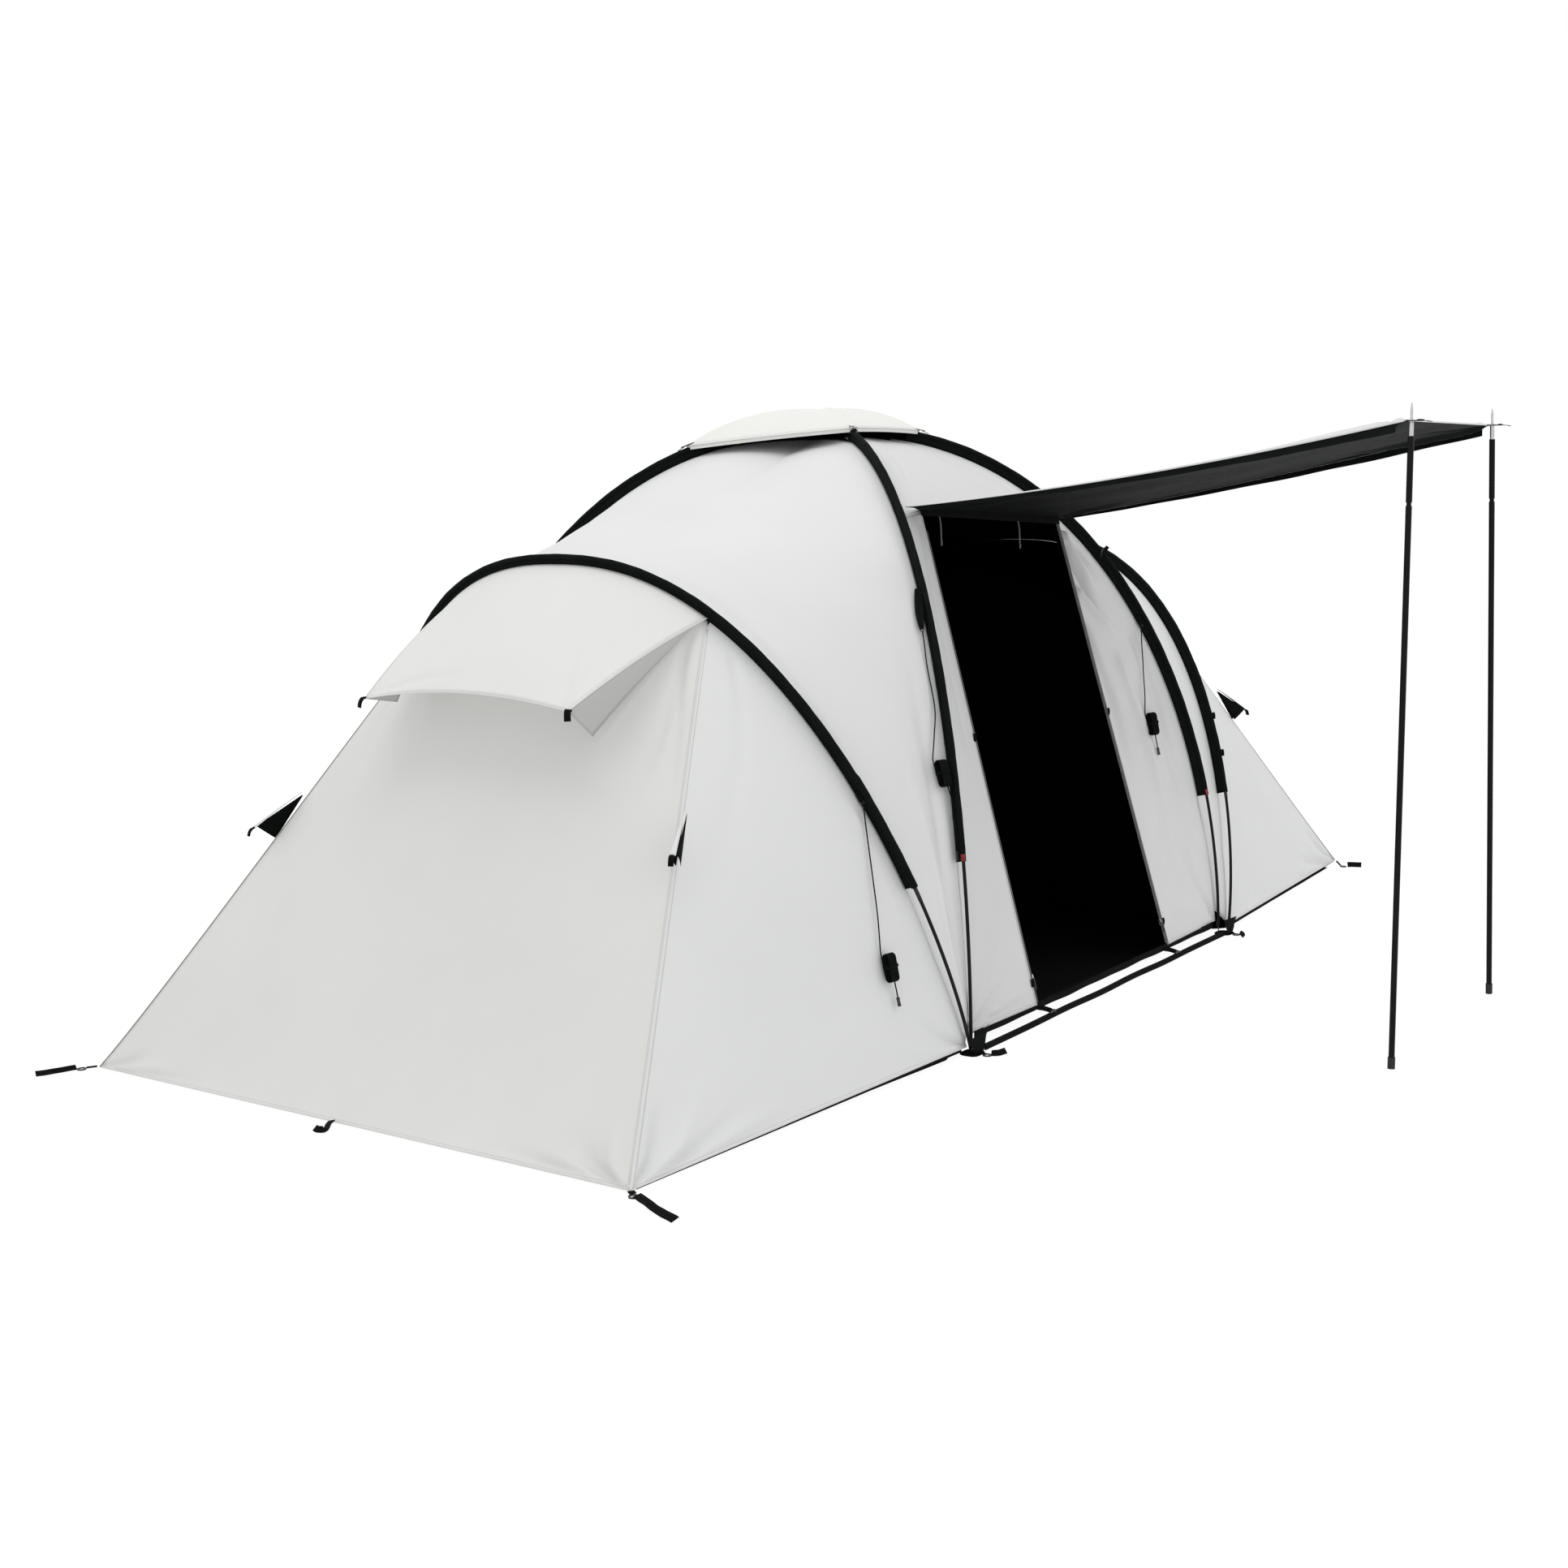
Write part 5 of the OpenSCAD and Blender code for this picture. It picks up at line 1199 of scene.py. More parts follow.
# ------------------------------------------------------------------ hoods over the bedroom vents
HC, HR = V(-1944, -403, 1111), 35.0


def hood_root(u):
    th = CUT * u
    return arch_line(th, -1) - arch_out(th, -1) * (GAP - 8) + V(-9, 0, 2)


def hood_grid():
    us = -1 + 2 * dense(70, 0.3)
    vs = np.linspace(0, 1, 46)
    roots = [hood_root(u) for u in us]
    return np.array([[lerp(roots[j], V(HC[0], -HC[1] * u, HC[2] + HR * (1 - u * u)), v) + V(0, 0, 56 * v * (1 - v)) for j, u in enumerate(us)] for v in vs])


for e, nm, node in ((1, "hood_a", "left_hood"), (-1, "hood_b", "right_hood")):
    P = outside(hood_grid(), (-1500, 0, 600))
    P = dress(P, [([(0.98, 0.03), (0.7, 0.14), (0.4, 0.24)], 4, 8, 26), ([(0.98, 0.97), (0.7, 0.86), (0.4, 0.76)], 4, 8, 26),
                  ([(0.96, 0.05), (0.9, 0.3), (0.88, 0.5)], -3, 8, 18)], (1.6, 240, 61), 0, 30)
    # the hood's underside takes the faintly glowing material: painted light under the hood
    ob = panel(nm, [(P, (e, 1))], [HOOD, HOOD_UNDERSIDE_GLOW], node, "fly_cream")
    # the hood's side cheeks, hanging from its edges back to the wall; their darker colour is painted shade under the
    # hood, and the front cheek hangs lower than the back one to carry that shade
    gb = Build()
    for col, sgn in ((0, 1), (-1, 1)):
        E_ = P[4:, col]
        k_ = len(E_)
        C_ = A([[E_[i_] + V(120 * r_, 0, -(84 if E_[i_][1] < 0 else 20) * r_) * (i_ / (k_ - 1)) + V(2.5, 0, -2) for r_ in np.linspace(0, 1, 9)] for i_ in range(k_)])
        C_[:, :, 1] -= np.sign(C_[:, :, 1]) * np.linspace(0, 1, 9)[None, :] * np.linspace(0, 1, k_)[:, None] * 14
        shell(gb, outside(C_, (-1700, 0, 900)), 1.0, (0, 0), (e, 1), (0, 0, 0, 0))
    gb.obj(nm + "_cheeks", [CHEEK_PAINTED_SHADE], slot="fly_cream")
    # rolled hem round the free edges
    b = Build()
    rim = np.concatenate([P[:, 0], P[-1, 1:-1], P[::-1, -1]])
    tube(b, rim, 2.1, 8, mirror=(e, 1))
    b.obj(nm + "_hem", [HOOD], slot="fly_cream")

VTOP, VTIP, VLOW = V(-1866, -753, 822), V(-2016, -818, 728), V(-1956, -792, 692)
VSIDE = unit([0.4, -0.91, 0])
VMOVE = [V(-4, -3, 16), V(-24, -1, -38), V(-38, 14, 15), V(-20, 4, 6)]
cow, gus, tab = [], Build(), Build()
for c in range(4):
    mv, mir = VMOVE[c], mirror_of(c)
    a = VTOP + V(-4, -2, 8) + mv
    z = VTIP + V(0, 0, 4) + mv
    ax = unit(z - a)
    nrm = unit(np.cross(VSIDE, ax))
    if nrm[2] < 0:
        nrm = -nrm
    P = np.array([[lerp(a, z, r) + VSIDE * s * (1.5 + 8.5 * r) + nrm * (4.5 * (1 - s * s) * r + 5 * r * (1 - r)) for s in np.linspace(-1, 1, 13)] for r in np.linspace(0, 1, 21)])
    cow.append((outside(P, a * 0.5 + z * 0.5 - nrm * 300), mir))
    for s in (-1, 1):
        p0, p1, p2 = VTOP + VSIDE * s * 4 + mv, lerp(VTOP, VTIP, 0.94) + VSIDE * s * 10.5 + V(0, 0, 0.5) + mv, VLOW + VSIDE * s * 7 + mv
        G = np.array([[lerp(lerp(p0, p1, r), lerp(p0, p2, r), s2) + VSIDE * s * 3 * math.sin(math.pi * s2) * r for s2 in np.linspace(0, 1, 9)] for r in np.linspace(0.02, 1, 13)])
        if (grid_normals(G) * VSIDE * s).sum() < 0:
            G = G[:, ::-1]
        shell(gus, G, 1.0, (0, 0), mir, (0, 0, 0, 0))
    ribbon(tab, [VTIP + V(2, 0, 4) + mv, VTIP + V(-8, -3, 0) + mv, VTIP + V(-14, -6, -8) + mv, VTIP + V(-18, -8, -22) + mv], [-0.9, -0.4, 0.4], 16, 5.0, mirror=mir)
    ribbon(tab, [HC + V(4, 0, 3), HC + V(-6, -4, 0), HC + V(-12, -8, -12), HC + V(-14, -10, -27)], [-0.9, -0.4, 0.4], 20, 6.0, mirror=mir)
# each of the four flaps is cut 22 mm wide at its tip, about 12 mm on average, and 187 mm long
panel("low_vent_flaps", cow, [WHITE, LINING], "low_vent_cowls", "fly_white")
gus.obj("low_vent_sides", [LINING], replaces=["low_vent_gussets"], slot="black_webbing")
tab.obj("vent_pull_tabs", [WEB], replaces=["vent_tabs"], slot="black_webbing")

# ------------------------------------------------------------------ hems, ground straps, floor
HZ = float(P0[2])
b = Build()
for f in (-1, 1):
    xs = np.linspace(-930, 930, 130)
    y = -1140 if f < 0 else 1140
    P = A([[V(x, y + f * 1.6 * math.sin(x / 61.0) * (0.3 + 0.7 * r), HZ + 1.5 - 23 * r + 0.8 * math.sin(x / 37)) for r in np.linspace(0, 1, 7)] for x in xs])
    P = outside(P, (0, 0, 0))
    shell(b, P, 1.6, (0, 0), (1, 1), (0, 0, 0, 0))
for c in range(4):
    mir = mirror_of(c)
    a = lerp(arch_skin(-88.2, -1), seam(1, c), 0.02)
    z = lerp(arch_skin(-88.2, -1), seam(1, c), 0.985)
    P = A([[lerp(a, z, x) + V(0, 0, -1.0 - r * (8 - 6.5 * x)) for r in np.linspace(0, 1, 5)] for x in np.linspace(0, 1, 60)])
    P = outside(P, (-1500, 0, 0))
    shell(b, P, 1.4, (0, 0), mir, (0, 0, 0, 0))
b.obj("hem_bands_cloth", [HEM_BLACK], replaces=["hem_bands"], slot="black_webbing")
b = Build()
for f in (-1, 1):
    mir = (1, 1 if f < 0 else -1)
    xs = np.linspace(-950, 950, 120)
    C = A([V(x, -1184 + 1.0 * math.sin(x / 70), 13.5 + 1.2 * math.sin(x / 95)) for x in xs])
    ribbon(b, C, [0, -1, 0.25], 21, 2, raw=True, mirror=mir)
    for x in (-520, 470):
        ribbon(b, [V(x, -1143, 40), V(x + 4, -1150, 38), V(x + 14, -1163, 35), V(x + 24, -1183, 27), V(x + 25, -1187, 16)], [-0.65, -0.3, 0.7], 18, 3.6, mirror=mir)
        # toggle: a barrel with a waist for its loop
        tube(b, A([V(x + 24 + s, -1187, 27) for s in np.linspace(-17, 17, 25)]), 4.5, 16, mat=1, mirror=mir,
             r_of=lambda s: 4.5 * (1 - 0.22 * math.exp(-((s - 0.5) / 0.12) ** 2)) * (1 if 0.04 < s < 0.96 else 0.8))
b.obj("door_ground_straps", [WEB, PLASTIC], replaces=["ground_straps"], slot="black_webbing")

outline = [(-2490, -1034), (-1080, -1136), (-1042, -1105), (1042, -1105), (1080, -1136), (2490, -1034), (2490, 1034), (1080, 1136), (1042, 1105), (-1042, 1105), (-1080, 1136), (-2484, 1012)]


def floor_half(x):
    """Front and back edges of the floor at x."""
    pts_f = [(-2490, -1034), (-1080, -1136), (-1042, -1105), (1042, -1105), (1080, -1136), (2490, -1034)]
    pts_b = [(-2490, 1012), (-1080, 1136), (-1042, 1105), (1042, 1105), (1080, 1136), (2490, 1034)]
    return float(np.interp(x, [p[0] for p in pts_f], [p[1] for p in pts_f])), float(np.interp(x, [p[0] for p in pts_b], [p[1] for p in pts_b]))


# the back edge turns up inside the wall's hem, so that no ground shows under the wall from inside
TURN_Y = cross_skin(88.5, 1)[1] - 8


def floor_edges(x):
    f, k_ = floor_half(x)
    up = float(np.clip((1040 - abs(x)) / 60, 0, 1))
    return (max(f, -1052.0) if abs(x) < 1042 else f), k_ + (TURN_Y - k_) * up


def floor_rise(x, s):
    """Height of the turned-up edge above the laid sheet."""
    return 34 * max(0.0, lerp(*floor_edges(x), s) - floor_half(x)[1]) / (TURN_Y - 1105)


floor_rows = np.concatenate([dense(80, 0.2) * 0.983, np.linspace(0.983, 1, 6)[1:]])
G = A([[V(x, lerp(*floor_edges(x), s), 2.4 + floor_rise(x, s) + 0.45 * math.sin(x / 70.0 + 3 * s) * math.sin(s * 21 + x / 150)) for s in floor_rows] for x in np.linspace(-2486, 2488, 180)])
panel("floor_sheet", [outside(G, (0, 0, -1000))], [FLOOR_PE, FLOOR_PE], "groundsheet", "groundsheet", t=1.2)

# ------------------------------------------------------------------ webbing on the ground and foot patches
CR = [V(-2548, -1086, 0), V(-2552, 1062, 0)]
TAILS = [[(-2556, -1102, 0), (-2580, -1150, 0), (-2612, -1212, 0), (-2640, -1285, 0)], [(-2568, 1066, 0), (-2600, 1075, 0), (-2640, 1090, 0), (-2680, 1110, 0)],
         [(-985, -1229, 0), (-983, -1237, 0), (-970, -1247, 0), (-938, -1253, 0)], [(-985, 1229, 0), (-984, 1236, 0), (-976, 1244, 0), (-956, 1252, 0)]]
CSTR = [[(-2530, -1063, 6), (-2535, -1070, 5.4), (-2540, -1077.5, 4.6)], [(-2518, 1031.5, 6), (-2530, 1041, 5.5), (-2542.5, 1052, 4.6)],
        [(2546, -1054, 24), (2546.5, -1064, 14), (2547, -1074.5, 4.6)], [(2533.5, 1051, 8), (2538, 1053.5, 6), (2541.5, 1056, 4.6)]]
b = Build()
for pts in CSTR:
    ribbon(b, A(pts, float) + V(0, 0, 0.8), [0, 0, 1], 20, 1.6)
for e in (1, -1):
    for pts in TAILS:
        P = A(pts, float)
        if e < 0 and pts[0][0] < -2000:
            P = P[0] + (P - P[0]) * 0.3
        P[:, 2] = [10.6, 11.4, 11.0, 10.8]
        ribbon(b, P, [-0.55 * e, -0.75 if pts[0][1] < 0 else -0.35, 0.62], 25 if pts[0][1] < 0 and pts[0][0] < -2000 else 20, 2.8, mirror=(e, 1), wave=0.5)
    # the loop at the middle of the end hem
    ribbon(b, [V(-2527, -2, 9.5), V(-2556, -20, 10.5), V(-2590, -44, 10), V(-2604, -30, 10.5), V(-2598, -12, 10)], [-0.7, -0.3, 0.6], 20, 3.0, mirror=(e, 1))
b.obj("peg_webbing", [WEB], replaces=["peg_straps"], slot="black_webbing")
b = Build()
for ex_ in (-1, 1):
    for ey_ in (-1, 1):
        mir = (-ex_, -ey_)
        # pad under the pole ends: rounded plate with a turned-up rim
        ang = np.linspace(0, 2 * math.pi, 49)[:-1]
        rings_ = []
        for rr2, z in ((0.0, 3.4), (0.6, 3.6), (0.88, 4.0), (0.97, 4.6), (1.0, 3.4), (1.0, 1.2), (0.96, 0.4)):
            rings_.append([V(-988 + 38 * rr2 * np.sign(math.cos(a)) * abs(math.cos(a)) ** 0.6, -1164 + 33 * rr2 * np.sign(math.sin(a)) * abs(math.sin(a)) ** 0.7, z) for a in ang])
        R = A(rings_).reshape(-1, 3)
        Fp = [f[::-1] for f in loft_faces(6, 48, caps=False)]
        Fp.append(list(range(48)))
        Fp.append(list(range(6 * 48 + 47, 6 * 48 - 1, -1)))
        Fp = [f[::-1] for f in Fp]
        b.add(R, Fp, 0, R[:, :2] / 1000, None, mir)
        ribbon(b, [V(-986, -1180, 6.2), V(-985.5, -1192, 6.0), V(-985, -1202, 5.6), V(-985, -1209, 5.0)], [0, 0, 1], 16, 1.6, mirror=mir)
        # the standing webbing tongue, folded over at the top
        W = A([[lerp(lerp(V(-1049, -1188.5, 59), V(-935, -1188.5, 65), s), lerp(V(-1011, -1188.5, 6), V(-961, -1188.5, 6), s), r)
                + V(0, -1.6 * math.sin(math.pi * s) * (1 - r) + 1.2 * math.sin(6 * r), 0) for s in np.linspace(0, 1, 21)] for r in np.linspace(0, 1, 17)])
        W = outside(W, (-985, -900, 30))
        shell(b, W, 1.8, (0, 0), mir, (0, 0, 0, 0))
b.obj("pole_foot_webbing", [WEB], replaces=["pole_foot_patches"], slot="black_webbing", auto=45)

# ------------------------------------------------------------------ door zips, ties, piping
def on_seam(e, upm):
    a, z = (door_bl, door_tl) if e < 0 else (door_br, door_tr)
    d = unit(z - a)
    al, be = -math.asin(d[1]), math.atan2(d[0], d[2])
    Rx = A([[1, 0, 0], [0, math.cos(al), -math.sin(al)], [0, math.sin(al), math.cos(al)]])
    Ry = A([[math.cos(be), 0, math.sin(be)], [0, 1, 0], [-math.sin(be), 0, math.cos(be)]])
    R = Ry @ Rx
    sx = -1.0 if e > 0 else 1.0
    return lambda p: (np.asarray(p, float) * V(sx, 1, 1)) @ R.T + a + d * upm


b = Build()
for e in (-1, 1):
    to = on_seam(e, 8)
    zs = np.linspace(0, 1590, 160)
    C = A([to([6.5, 0.2 * math.sin(z / 40), z]) for z in zs])
    ribbon(b, C, to([0, -1, 0]) - to([0, 0, 0]), 11, 1.0, mat=0, raw=True)
    # the coil: a bead whose width steps at every tooth pair
    zt = np.arange(2, 1588, 1.6)
    ph = (zt % 4.8) / 4.8
    CT_ = A([to([10.6, 0.3, z]) for z in zt])
    rad = 1.25 + 0.45 * (ph < 0.5)
    d_ = unit(CT_[-1] - CT_[0])
    s_ = to([1, 0, 0]) - to([0, 0, 0])
    n_ = np.cross(d_, s_)
    aa = np.arange(6) * math.pi / 3
    R = CT_[:, None] + rad[:, None, None] * (s_[None, None] * np.cos(aa)[None, :, None] + n_[None, None] * np.sin(aa)[None, :, None])
    b.add(R, loft_faces(len(CT_) - 1, 6), 1, np.zeros((len(CT_) * 6, 2)))
b.obj("door_zips", [ZIPTAPE, ZIPTEETH], replaces=["door_zip_tapes"], slot="zip_tape")
b = Build()
S = A([lerp(door_br, door_tr, t) + V(2.5, -2.0, 0) for t in np.linspace(0.0, 1, 90)])
tube(b, S, 2.6, 8)
S = A([lerp(door_bl, door_tl, t) + V(-1.5, -1.2, 0) for t in np.linspace(0.0, 1, 90)])
tube(b, S, 1.3, 8, mat=1)
b.obj("door_piping", [PIPING, WHITE], slot="tie_tape")
for e, nm in ((-1, "zip_slider_left"), (1, "zip_slider_right")):
    to = on_seam(e, 78)
    b = Build()
    for y in (-3.0, 2.7):
        prof = [(5.2, 2), (7, 0), (13, 0), (15.6, 2), (15.6, 12), (13.8, 22), (7.4, 22), (5.2, 12)]
        up_ = [to([x, y - 0.9, z]) for x, z in prof] + [to([x, y + 0.9, z]) for x, z in prof]
        k = len(prof)
        Fs = [list(range(k)), list(range(2 * k - 1, k - 1, -1))] + [[i, k + i, k + (i + 1) % k, (i + 1) % k] for i in range(k)]
        if e > 0:
            Fs = [f[::-1] for f in Fs]
        b.add(up_, [f[::-1] for f in Fs], 0)
    tube(b, A([to([10.5, y, 20.5]) for y in (-2.6, 0, 2.6)]), 1.6, 8, mat=0)
    tube(b, A([to([9.5, -5.2 - 1.6 * math.sin(x), 7 + 3.2 * math.cos(x)]) for x in np.linspace(0, 2 * math.pi, 20)]), 0.9, 8, mat=0)
    ribbon(b, A([to([9.5, -6.6, 8]), to([9.6, -7.2, -2]), to([9.2, -6.4, -14]), to([9.4, -6.0, -29])]), to([0, -1, 0]) - to([0, 0, 0]), 7.4, 2.0, mat=1)
    b.obj(nm + "_metal", [ZIPMETAL, PULL], body=nm, replaces=[nm], slot="zip_metal", auto=45, bevel=0.35)
b = Build()
for x in (-345, 175):
    p = lerp(door_tl, door_tr, (x - door_tl[0]) / (door_tr[0] - door_tl[0])) + V(0, -6, -6)
    ribbon(b, [p, p + V(-2, -7, -30), p + V(-4, -10, -70), p + V(-5, -11, -100)], [0, -1, 0], 8, 1.6)
    # sewn end
    ribbon(b, [p + V(-5, -12.6, -100), p + V(-5.3, -12.9, -92), p + V(-4.6, -12.4, -84)], [0, -1, 0], 8, 1.4)
ribbon(b, [lerp(door_tl, door_tr, t) + V(0, -4.5, 5 - 3 * t) for t in (-0.01, 0.25, 0.5, 0.75, 1.01)], [0, -1, 0.2], 30, 1.4, mat=1)
for e, share in ((-1, 0.46), (-1, 0.955), (1, 0.45), (1, 0.945)):
    a_, z_ = (door_tl, door_bl) if e < 0 else (door_tr, door_br)
    p = lerp(a_, z_, share)
    ribbon(b, [p + V(e * 3, -4, 13), p + V(e * 5, -7, 2), p + V(e * 4, -6, -14)], [e * 0.3 - 0.4, -1, 0], 11, 2.2, mat=1)
b.obj("door_tie_tapes", [TIE, WEB], replaces=["door_ties"], slot="tie_tape")

# ------------------------------------------------------------------ awning
HL, HRt = V(-520, -656, 1656), V(520, -698, 1601)


def awn(u, v):
    return lerp(lerp(HL, HRt, (u + 1) / 2), V(u * 432, -2262, 1888), v) - V(0, 0, (24 + (14 - 24) * (u + 1) / 2) * 4 * v * (1 - v))


us = -1 + 2 * dense(90, 0.5)
vs = dense(130, 0.3)
P = A([[awn(u, v) for u in us] for v in vs])
P = outside(P, (0, -1400, 0))
wflip = P[0, 0, 0] < P[0, -1, 0]
w_ = (lambda s: s) if wflip else (lambda s: 1 - s)
af = [
    ([(0.995, w_(0.01)), (0.86, w_(0.16)), (0.66, w_(0.26))], -9, 9, 32),
    ([(0.99, w_(0.02)), (0.84, w_(0.06)), (0.62, w_(0.07))], 7, 8, 24),
    ([(0.995, w_(0.03)), (0.92, w_(0.24)), (0.86, w_(0.42))], 7, 9, 30),
    ([(0.995, w_(0.99)), (0.86, w_(0.84)), (0.66, w_(0.74))], -9, 9, 32),
    ([(0.99, w_(0.98)), (0.84, w_(0.94)), (0.62, w_(0.93))], 7, 8, 24),
    ([(0.995, w_(0.97)), (0.92, w_(0.76)), (0.86, w_(0.58))], 7, 9, 30),
    ([(0.01, w_(0.03)), (0.12, w_(0.14)), (0.3, w_(0.2))], -6, 9, 30),
    ([(0.01, w_(0.97)), (0.12, w_(0.86)), (0.3, w_(0.8))], -6, 9, 30),
]
Pa = dress(P, af, (3.0, 260, 71), 0, 40)
b = Build()
shell(b, Pa, 1.2, (0, 1))
# side hems that hang and curl
for e in (-1, 1):
    vv = np.linspace(0.03, 0.985, 110)
    G = []
    for v in vv:
        h = 8 + 18 * v
        top_ = awn(e * 0.992, v) - V(0, 0, 2.0)
        G.append([top_ + V(e * (1.4 * math.sin(v * 46) + 0.6 * math.sin(v * 120)) * (r**1.5), 0, -h * r * (1 - 0.05 * math.sin(v * 31))) for r in np.linspace(0, 1, 7)])
    G = outside(A(G), (0, -1400, 1750))
    shell(b, G, 1.2, (1, 1), (1, 1), (0, 0, 0, 0))
aw = b.obj("awning_cloth", [WHITE, UNDER], body="awning", replaces=["awning"], slot="fly_white")
b = Build()
near = A([awn(-1, v) + V(-0.5, 0, 0.6) for v in np.linspace(0, 1, 120)])
farr = A([awn(1, v) + V(0.5, 0, 0.6) for v in np.linspace(0, 1, 120)])
tube(b, near, 3.0, 10, r_of=lambda s: 1.6 + 2.6 * s)
tube(b, farr, 2.2, 10, mat=0)
outer = A([awn(u, 1) + V(0, -1.0, 0.6) for u in np.linspace(-1, 1, 80)])
tube(b, outer, 2.6, 10)
b.obj("awning_hem", [WHITE], body="awning", slot="fly_white")
# webbing tabs with the eyelets for the spikes
FEET = {-1: V(-490, -2296, 0), 1: V(562, -2285, 0)}
for e, side in ((-1, "left"), (1, "right")):
    d = V(e * 409, -2276, 1843) - FEET[e]
    c = FEET[e] + d * (1887 / 1843)
    zc = 1887
    b = Build()
    # the tab is a doubled web with a round hole: rings of points round the eyelet out to a rounded square
    ang = np.linspace(0, 2 * math.pi, 49)[:-1]
    yh = c[1]
    y1 = -2262 - 1.2

    def tab_edge(a):
        hw, lo_, hi_ = 20.0, c[1] - 30, y1
        # distance from the hole's middle to the tab's rectangle in direction a
        cx, sy = math.cos(a), math.sin(a)
        tx = hw / abs(cx) if abs(cx) > 1e-6 else 1e9
        ty = (hi_ - yh) / sy if sy > 1e-6 else ((lo_ - yh) / sy if sy < -1e-6 else 1e9)
        return min(tx, ty)

    def lay(z):
        return [[V(c[0] + math.cos(a) * rad_, yh + math.sin(a) * rad_, z) for a in ang for rad_ in (6.0 + (tab_edge(a) - 6.0) * s_,)] for s_ in (0, 0.25, 0.6, 1.0)]

    topr, botr = lay(zc + 1.3), lay(zc - 1.3)
    R = A(topr + botr[::-1]).reshape(-1, 3)
    n48 = 48
    Ft = []
    rows_ = 8
    for i in range(rows_):
        for j in range(n48):
            a_, b_ = i * n48 + j, i * n48 + (j + 1) % n48
            i2 = (i + 1) % rows_
            Ft.append([a_, b_, i2 * n48 + (j + 1) % n48, i2 * n48 + j][::-1])
    b.add(R, Ft, 0, R[:, :2] / 1000)
    # eyelet
    tube(b, A([V(c[0] + 7.6 * math.cos(a), yh + 7.6 * math.sin(a), zc + 1.6) for a in np.linspace(0, 2 * math.pi, 33)]), 1.3, 8, mat=1)
    tube(b, A([V(c[0] + 7.6 * math.cos(a), yh + 7.6 * math.sin(a), zc - 1.6) for a in np.linspace(0, 2 * math.pi, 33)]), 1.3, 8, mat=1)
    # the loose end
    ribbon(b, [V(c[0], c[1] - 26, zc - 0.4), V(c[0] + e * 1, c[1] - 42, zc - 1), V(c[0] + e * 2, c[1] - 57, zc - 4)], [0, 0, 1], 20, 1.8)
    ribbon(b, [V(c[0] - e * 1, c[1] - 20, zc + 2.2), V(c[0], c[1] - 28, zc + 3.0), V(c[0] + e * 1, c[1] - 33, zc + 0.6)], [0, 0, 1], 22, 1.6)
    b.obj("awning_tab_" + side, [WEB, STEEL], body="awning_pole_" + side, replaces=["awning_pole_" + side + "_tab"], slot="black_webbing", auto=45)

# ------------------------------------------------------------------ guy tabs
b = Build()
ribbon(b, [V(-1280.5, -942, 834), V(-1279.5, -949, 820), V(-1280.5, -959, 806)], [-1, 0, 0], 16, 3)
ribbon(b, [V(-703, -806, 1401), V(-730, -830, 1354), V(-754, -849, 1313), V(-772, -865, 1277)], [-0.86, -0.5, 0.1], 18, 2.5, w_of=lambda x: 14 + 15 * math.sin(math.pi * x))
ribbon(b, [V(756, -899, 1231), V(752, -906, 1212), V(748, -914, 1195)], [-0.87, -0.4, -0.3], 14, 2.5)
# small loops on the sleeves: a buckle loop and hanging tabs
ribbon(b, [V(672, -812, 1490), V(662, -806, 1474), V(655, -806, 1458), V(664, -800, 1444)], [-0.86, -0.5, 0.1], 14, 3.0)
ribbon(b, [V(668, -800, 1486), V(652, -796, 1466), V(664, -792, 1448)], [-0.86, -0.5, 0.1], 5, 3.0, mat=1)
for q_ in (V(1262, -978, 812), V(1216, -1036, 674)):
    ribbon(b, [q_ + V(-4, -14, 8), q_ + V(-10, -20, 0), q_ + V(-11, -21, -16)], [-0.86, -0.5, 0.1], 13, 3.0)
for p in (V(-1280, -960, 804), V(-772, -866, 1275), V(748, -914.5, 1193)):
    tube(b, A([p + V(0, 6.2 * math.cos(x), 4.2 * math.sin(x)) for x in np.linspace(0, 2 * math.pi, 25)]), 1.3, 8, mat=1)
# ladder buckle on the long tab and the small tabs on the sleeves
for p in (V(-700, -815, 1392), V(-724, -838, 1342)):
    tube(b, cat([p + V(0, 0, 0), p + V(-3, 8, 5), p + V(-6, 0, -3), p + V(-3, -8, -8), p], 5), 1.5, 8, mat=1)
b.obj("guy_tab_webbing", [WEB, PLASTIC], replaces=["guy_tabs"], slot="black_webbing")

# ------------------------------------------------------------------ inner bedrooms
CA = [(1010, 4), (985, 480), (740, 1030), (390, 1310), (0, 1400)]
CB = [(990, 4), (930, 440), (680, 990), (330, 1270), (0, 1335)]
CCp = [(930, 4), (895, 90), (860, 168), (430, 170), (0, 171)]


def prof3(pts, x, n=18):
    C2 = A([(p[0], p[1]) for p in pts])
    half = []
    for i in range(4):
        for j in range(n):
            half.append(lerp(C2[i], C2[i + 1], j / n))
    half.append(C2[4])
    half = A(half)
    full = np.concatenate([half * V(-1, 1, 0)[:2], (half[:-1])[::-1]])
    return A([V(x, y, z) for y, z in full])


